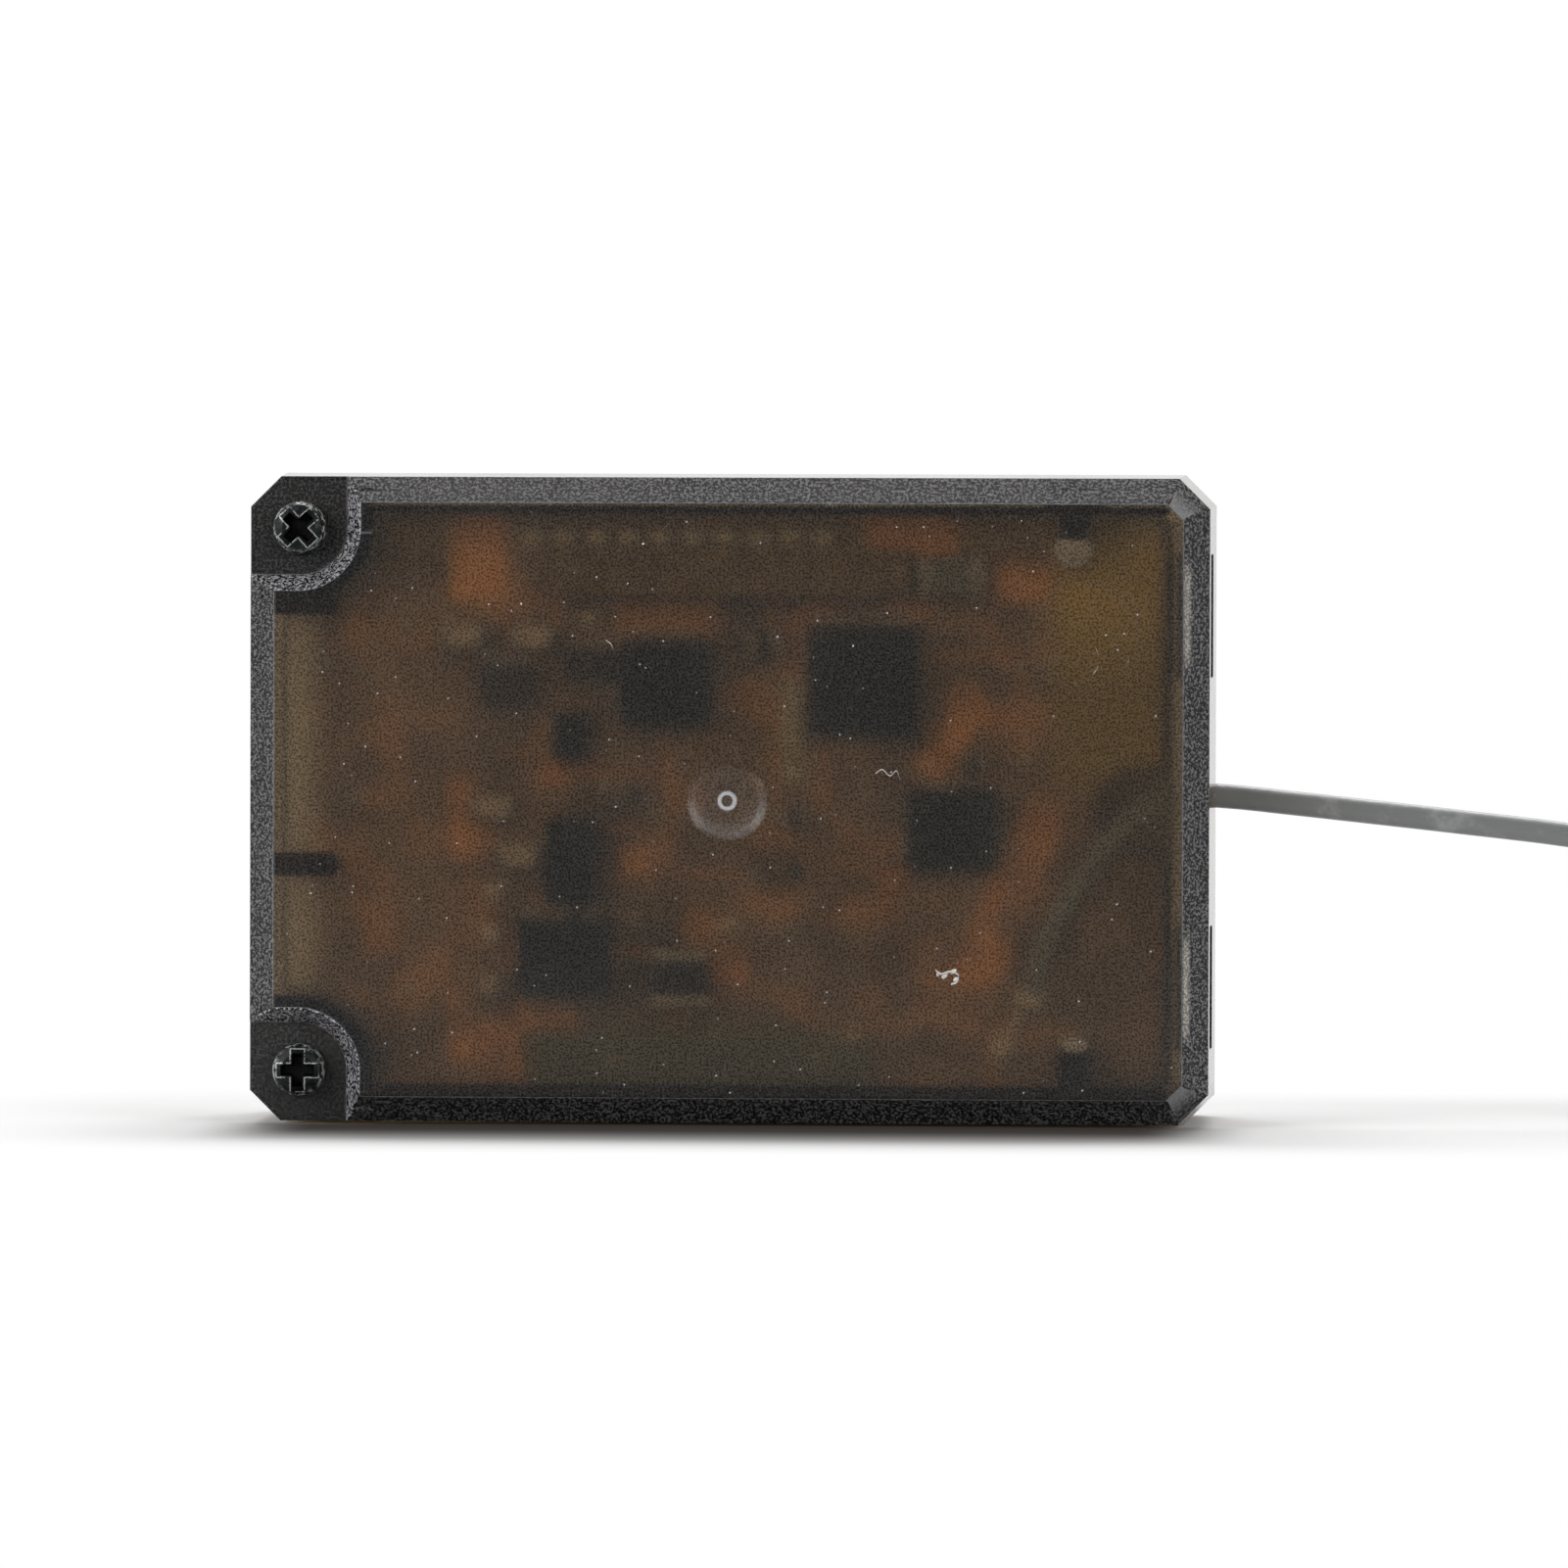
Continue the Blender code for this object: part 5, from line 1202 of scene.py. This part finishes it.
class RECEIVER_OT_chips(ReceiverPart, bpy.types.Operator):
    """Finish the chips and give them their leads"""

    bl_idname = "receiver.chips"
    bl_label = "Chips"

    def execute(self, context):
        epoxy = mottled("black_epoxy", (0.010, 0.012, 0.015), 0.25, 0.3, 0.60,
                        shine=0.12)
        dress(epoxy, "processor_chip", "radio_chip", "front_end_chip", "voltage_regulator",
              "output_transistor", "interface_chip")
        tin = mottled("lead_tin", (0.58, 0.57, 0.54), 0.3, 0.15, 0.36, 0.9)
        bm = bmesh.new()
        for name, on_x, on_z, count, pitch in CHIP_LEADS:
            add_leads(bm, name, on_x, on_z, count, pitch)
        add_leads(bm, "voltage_regulator", False, True, 3, 1.15, 0.55)
        add_leads(bm, "output_transistor", True, False, 2, 0.95, 0.30)
        piece(bm, "chip_leads", tin)
        bm = bmesh.new()
        for name in ("processor_chip", "radio_chip", "front_end_chip"):
            low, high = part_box(name)
            disc(bm, (low.x + DOT_INSET, low.y, high.z - DOT_INSET), 20, DOT_RADIUS, DOT_RADIUS,
                 0.02 * MM)
        piece(bm, "chip_dots", mottled("dot_grey", (0.10, 0.10, 0.10), 0.2))
        return {"FINISHED"}


def add_caps(bm, name, axis):
    low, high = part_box(name)
    index = "xyz".index(axis)
    long = (high[index] - low[index]) * CAP_SHARE
    for side in (-1, 1):
        centre = (low + high) / 2
        size = (high - low) + Vector((CAP_PROUD, CAP_PROUD, CAP_PROUD)) * MM
        centre[index] += side * ((high[index] - low[index]) - long) / 2
        size[index] = long + CAP_PROUD * MM
        block(bm, centre, size, edge=0.04 * MM)


class RECEIVER_OT_passives(ReceiverPart, bpy.types.Operator):
    """Finish the small components and give them their end caps"""

    bl_idname = "receiver.passives"
    bl_label = "Small components"

    def execute(self, context):
        dress(mottled("ceramic", (0.62, 0.53, 0.44), 0.3, 0.12, 0.5),
              *[f"ceramic_capacitor_{n}" for n in range(1, 5)])
        dress(mottled("resistor_glaze", (0.030, 0.030, 0.034), 0.3, 0.2, 0.3),
              *[f"chip_resistor_{n}" for n in range(1, 5)])
        dress(mottled("tantalum_case", (0.012, 0.012, 0.013), 0.3, 0.2, 0.60, shine=0.12),
              "tantalum_capacitor")
        dress(mottled("ferrite", (0.025, 0.025, 0.026), 0.15, 0.35, 0.65,
                      shine=0.2), "power_inductor")
        dress(mottled("nickel_can", (0.33, 0.33, 0.31), 0.8, 0.10, 0.32, 0.9), "crystal_can")
        dress(mottled("header_plastic", (0.030, 0.030, 0.030), 0.3, 0.2, 0.5),
              "port_header_base")
        dress(mottled("module_header_plastic", (0.230, 0.170, 0.095), 0.9, 0.40, 0.6,
                      shine=0.2), "module_header")
        dress(mottled("driver_epoxy", (0.050, 0.040, 0.030), 0.7, 0.4, 0.6, shine=0.15),
              "servo_driver", "antenna_switch", "clamp_diode")
        dress(mottled("lens", (0.80, 0.78, 0.70), 0.5, 0.05, 0.15), "status_led")
        tin = mottled("cap_tin", (0.40, 0.38, 0.35), 0.25, 0.2, 0.45, 0.5)
        bm = bmesh.new()
        for name, axis in END_CAPS:
            add_caps(bm, name, axis)
        piece(bm, "component_end_caps", tin)
        return {"FINISHED"}


class RECEIVER_OT_ports(ReceiverPart, bpy.types.Operator):
    """Finish the port pins, and solder them to the board"""

    bl_idname = "receiver.ports"
    bl_label = "Servo ports"

    def execute(self, context):
        gold = mottled("gold_plate", (0.72, 0.54, 0.24), 0.5, 0.08, 0.25, 1.0, 0.002)
        dress(gold, *PINS)
        bm = bmesh.new()
        for name in PINS:
            low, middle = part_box(name)[0], centre_of(name)
            block(bm, (middle.x, (BOARD_FAR + low.y) / 2, middle.z),
                  (FILLET_WIDTH, low.y - BOARD_FAR, FILLET_WIDTH), edge=0.03 * MM)
        piece(bm, "header_solder", mottled("header_tin", (0.60, 0.58, 0.54), 0.4, 0.12, 0.4,
                                           0.6))
        return {"FINISHED"}


def add_label():
    """Lay a blank label on the far face, beside the ports."""
    low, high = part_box("port_header_base")
    left = -CASE_END + LABEL_EDGE
    right = CASE_END - LABEL_EDGE
    bottom, top = LABEL_EDGE, CASE_TOP - LABEL_EDGE
    beside = high.x + LABEL_CLEAR
    bm = bmesh.new()
    for x_range, z_range in (((beside, right), (bottom, top)),
                             ((left, beside), (high.z + LABEL_CLEAR, top)),
                             ((left, beside), (bottom, low.z - LABEL_CLEAR))):
        block(bm, (sum(x_range) / 2, CASE_FAR + LABEL_RISE / 2, sum(z_range) / 2),
              (x_range[1] - x_range[0], LABEL_RISE, z_range[1] - z_range[0]))
    piece(bm, "blank_label", mottled("label_film", (0.46, 0.46, 0.45), 0.4, 0.05, 0.5),
          smooth=False)


class RECEIVER_OT_far_side(ReceiverPart, bpy.types.Operator):
    """Finish the can capacitor on the far side of the board, and the coax's bared core"""

    bl_idname = "receiver.far_side"
    bl_label = "Far side of the board"

    def execute(self, context):
        dress(mottled("aluminium_can", (0.70, 0.70, 0.71), 0.9, 0.06, 0.32, 1.0, 0.002),
              "bulk_capacitor")
        dress(mottled("tinned_core", (0.62, 0.60, 0.57), 0.3, 0.1, 0.35, 1.0),
              "coax_core_wire")
        low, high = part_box("bulk_capacitor")
        middle = (low + high) / 2
        radius = (high.x - low.x) / 2
        bm = bmesh.new()
        block(bm, (middle.x, low.y + 0.25 * MM, middle.z),
              (2.1 * radius, 0.5 * MM, 2.1 * radius), edge=0.15 * MM)
        piece(bm, "capacitor_foot", mottled("foot_plastic", (0.03, 0.03, 0.03), 0.4))
        bm = bmesh.new()
        for turn in (0.0, math.radians(90)):
            block(bm, (middle.x, high.y, middle.z), (1.1 * radius, 0.02 * MM, 0.10 * MM), turn)
        piece(bm, "capacitor_vent", mottled("vent_shade", (0.18, 0.18, 0.18), 0.4),
              smooth=False)
        add_label()
        return {"FINISHED"}


LOOKS = (CaseLook, AntennaLook, BoardLook, StageLook)
MAKERS = (RECEIVER_OT_stage, RECEIVER_OT_antenna, RECEIVER_OT_case, RECEIVER_OT_screws,
          RECEIVER_OT_board, RECEIVER_OT_chips, RECEIVER_OT_passives, RECEIVER_OT_ports,
          RECEIVER_OT_far_side)


class RECEIVER_PT_panel(bpy.types.Panel):
    """Lists the receiver's pieces"""

    bl_idname = "RECEIVER_PT_panel"
    bl_label = "Receiver"
    bl_space_type = "VIEW_3D"
    bl_region_type = "UI"
    bl_category = "Receiver"

    def draw(self, context):
        for maker in MAKERS:
            self.layout.operator(maker.bl_idname, text=maker.bl_label)
        for look in LOOKS:
            settings = getattr(context.scene, look.short)
            for name in look.__annotations__:
                self.layout.prop(settings, name)


def register():
    for look in LOOKS:
        bpy.utils.register_class(look)
        setattr(bpy.types.Scene, look.short, bpy.props.PointerProperty(type=look))
    for cls in (*MAKERS, RECEIVER_PT_panel):
        bpy.utils.register_class(cls)


def unregister():
    for cls in (RECEIVER_PT_panel, *reversed(MAKERS)):
        bpy.utils.unregister_class(cls)
    for look in reversed(LOOKS):
        delattr(bpy.types.Scene, look.short)
        bpy.utils.unregister_class(look)


def main():
    register()
    for maker in MAKERS:
        group, action = maker.bl_idname.split(".")
        getattr(getattr(bpy.ops, group), action)()


if __name__ == "__main__":
    main()
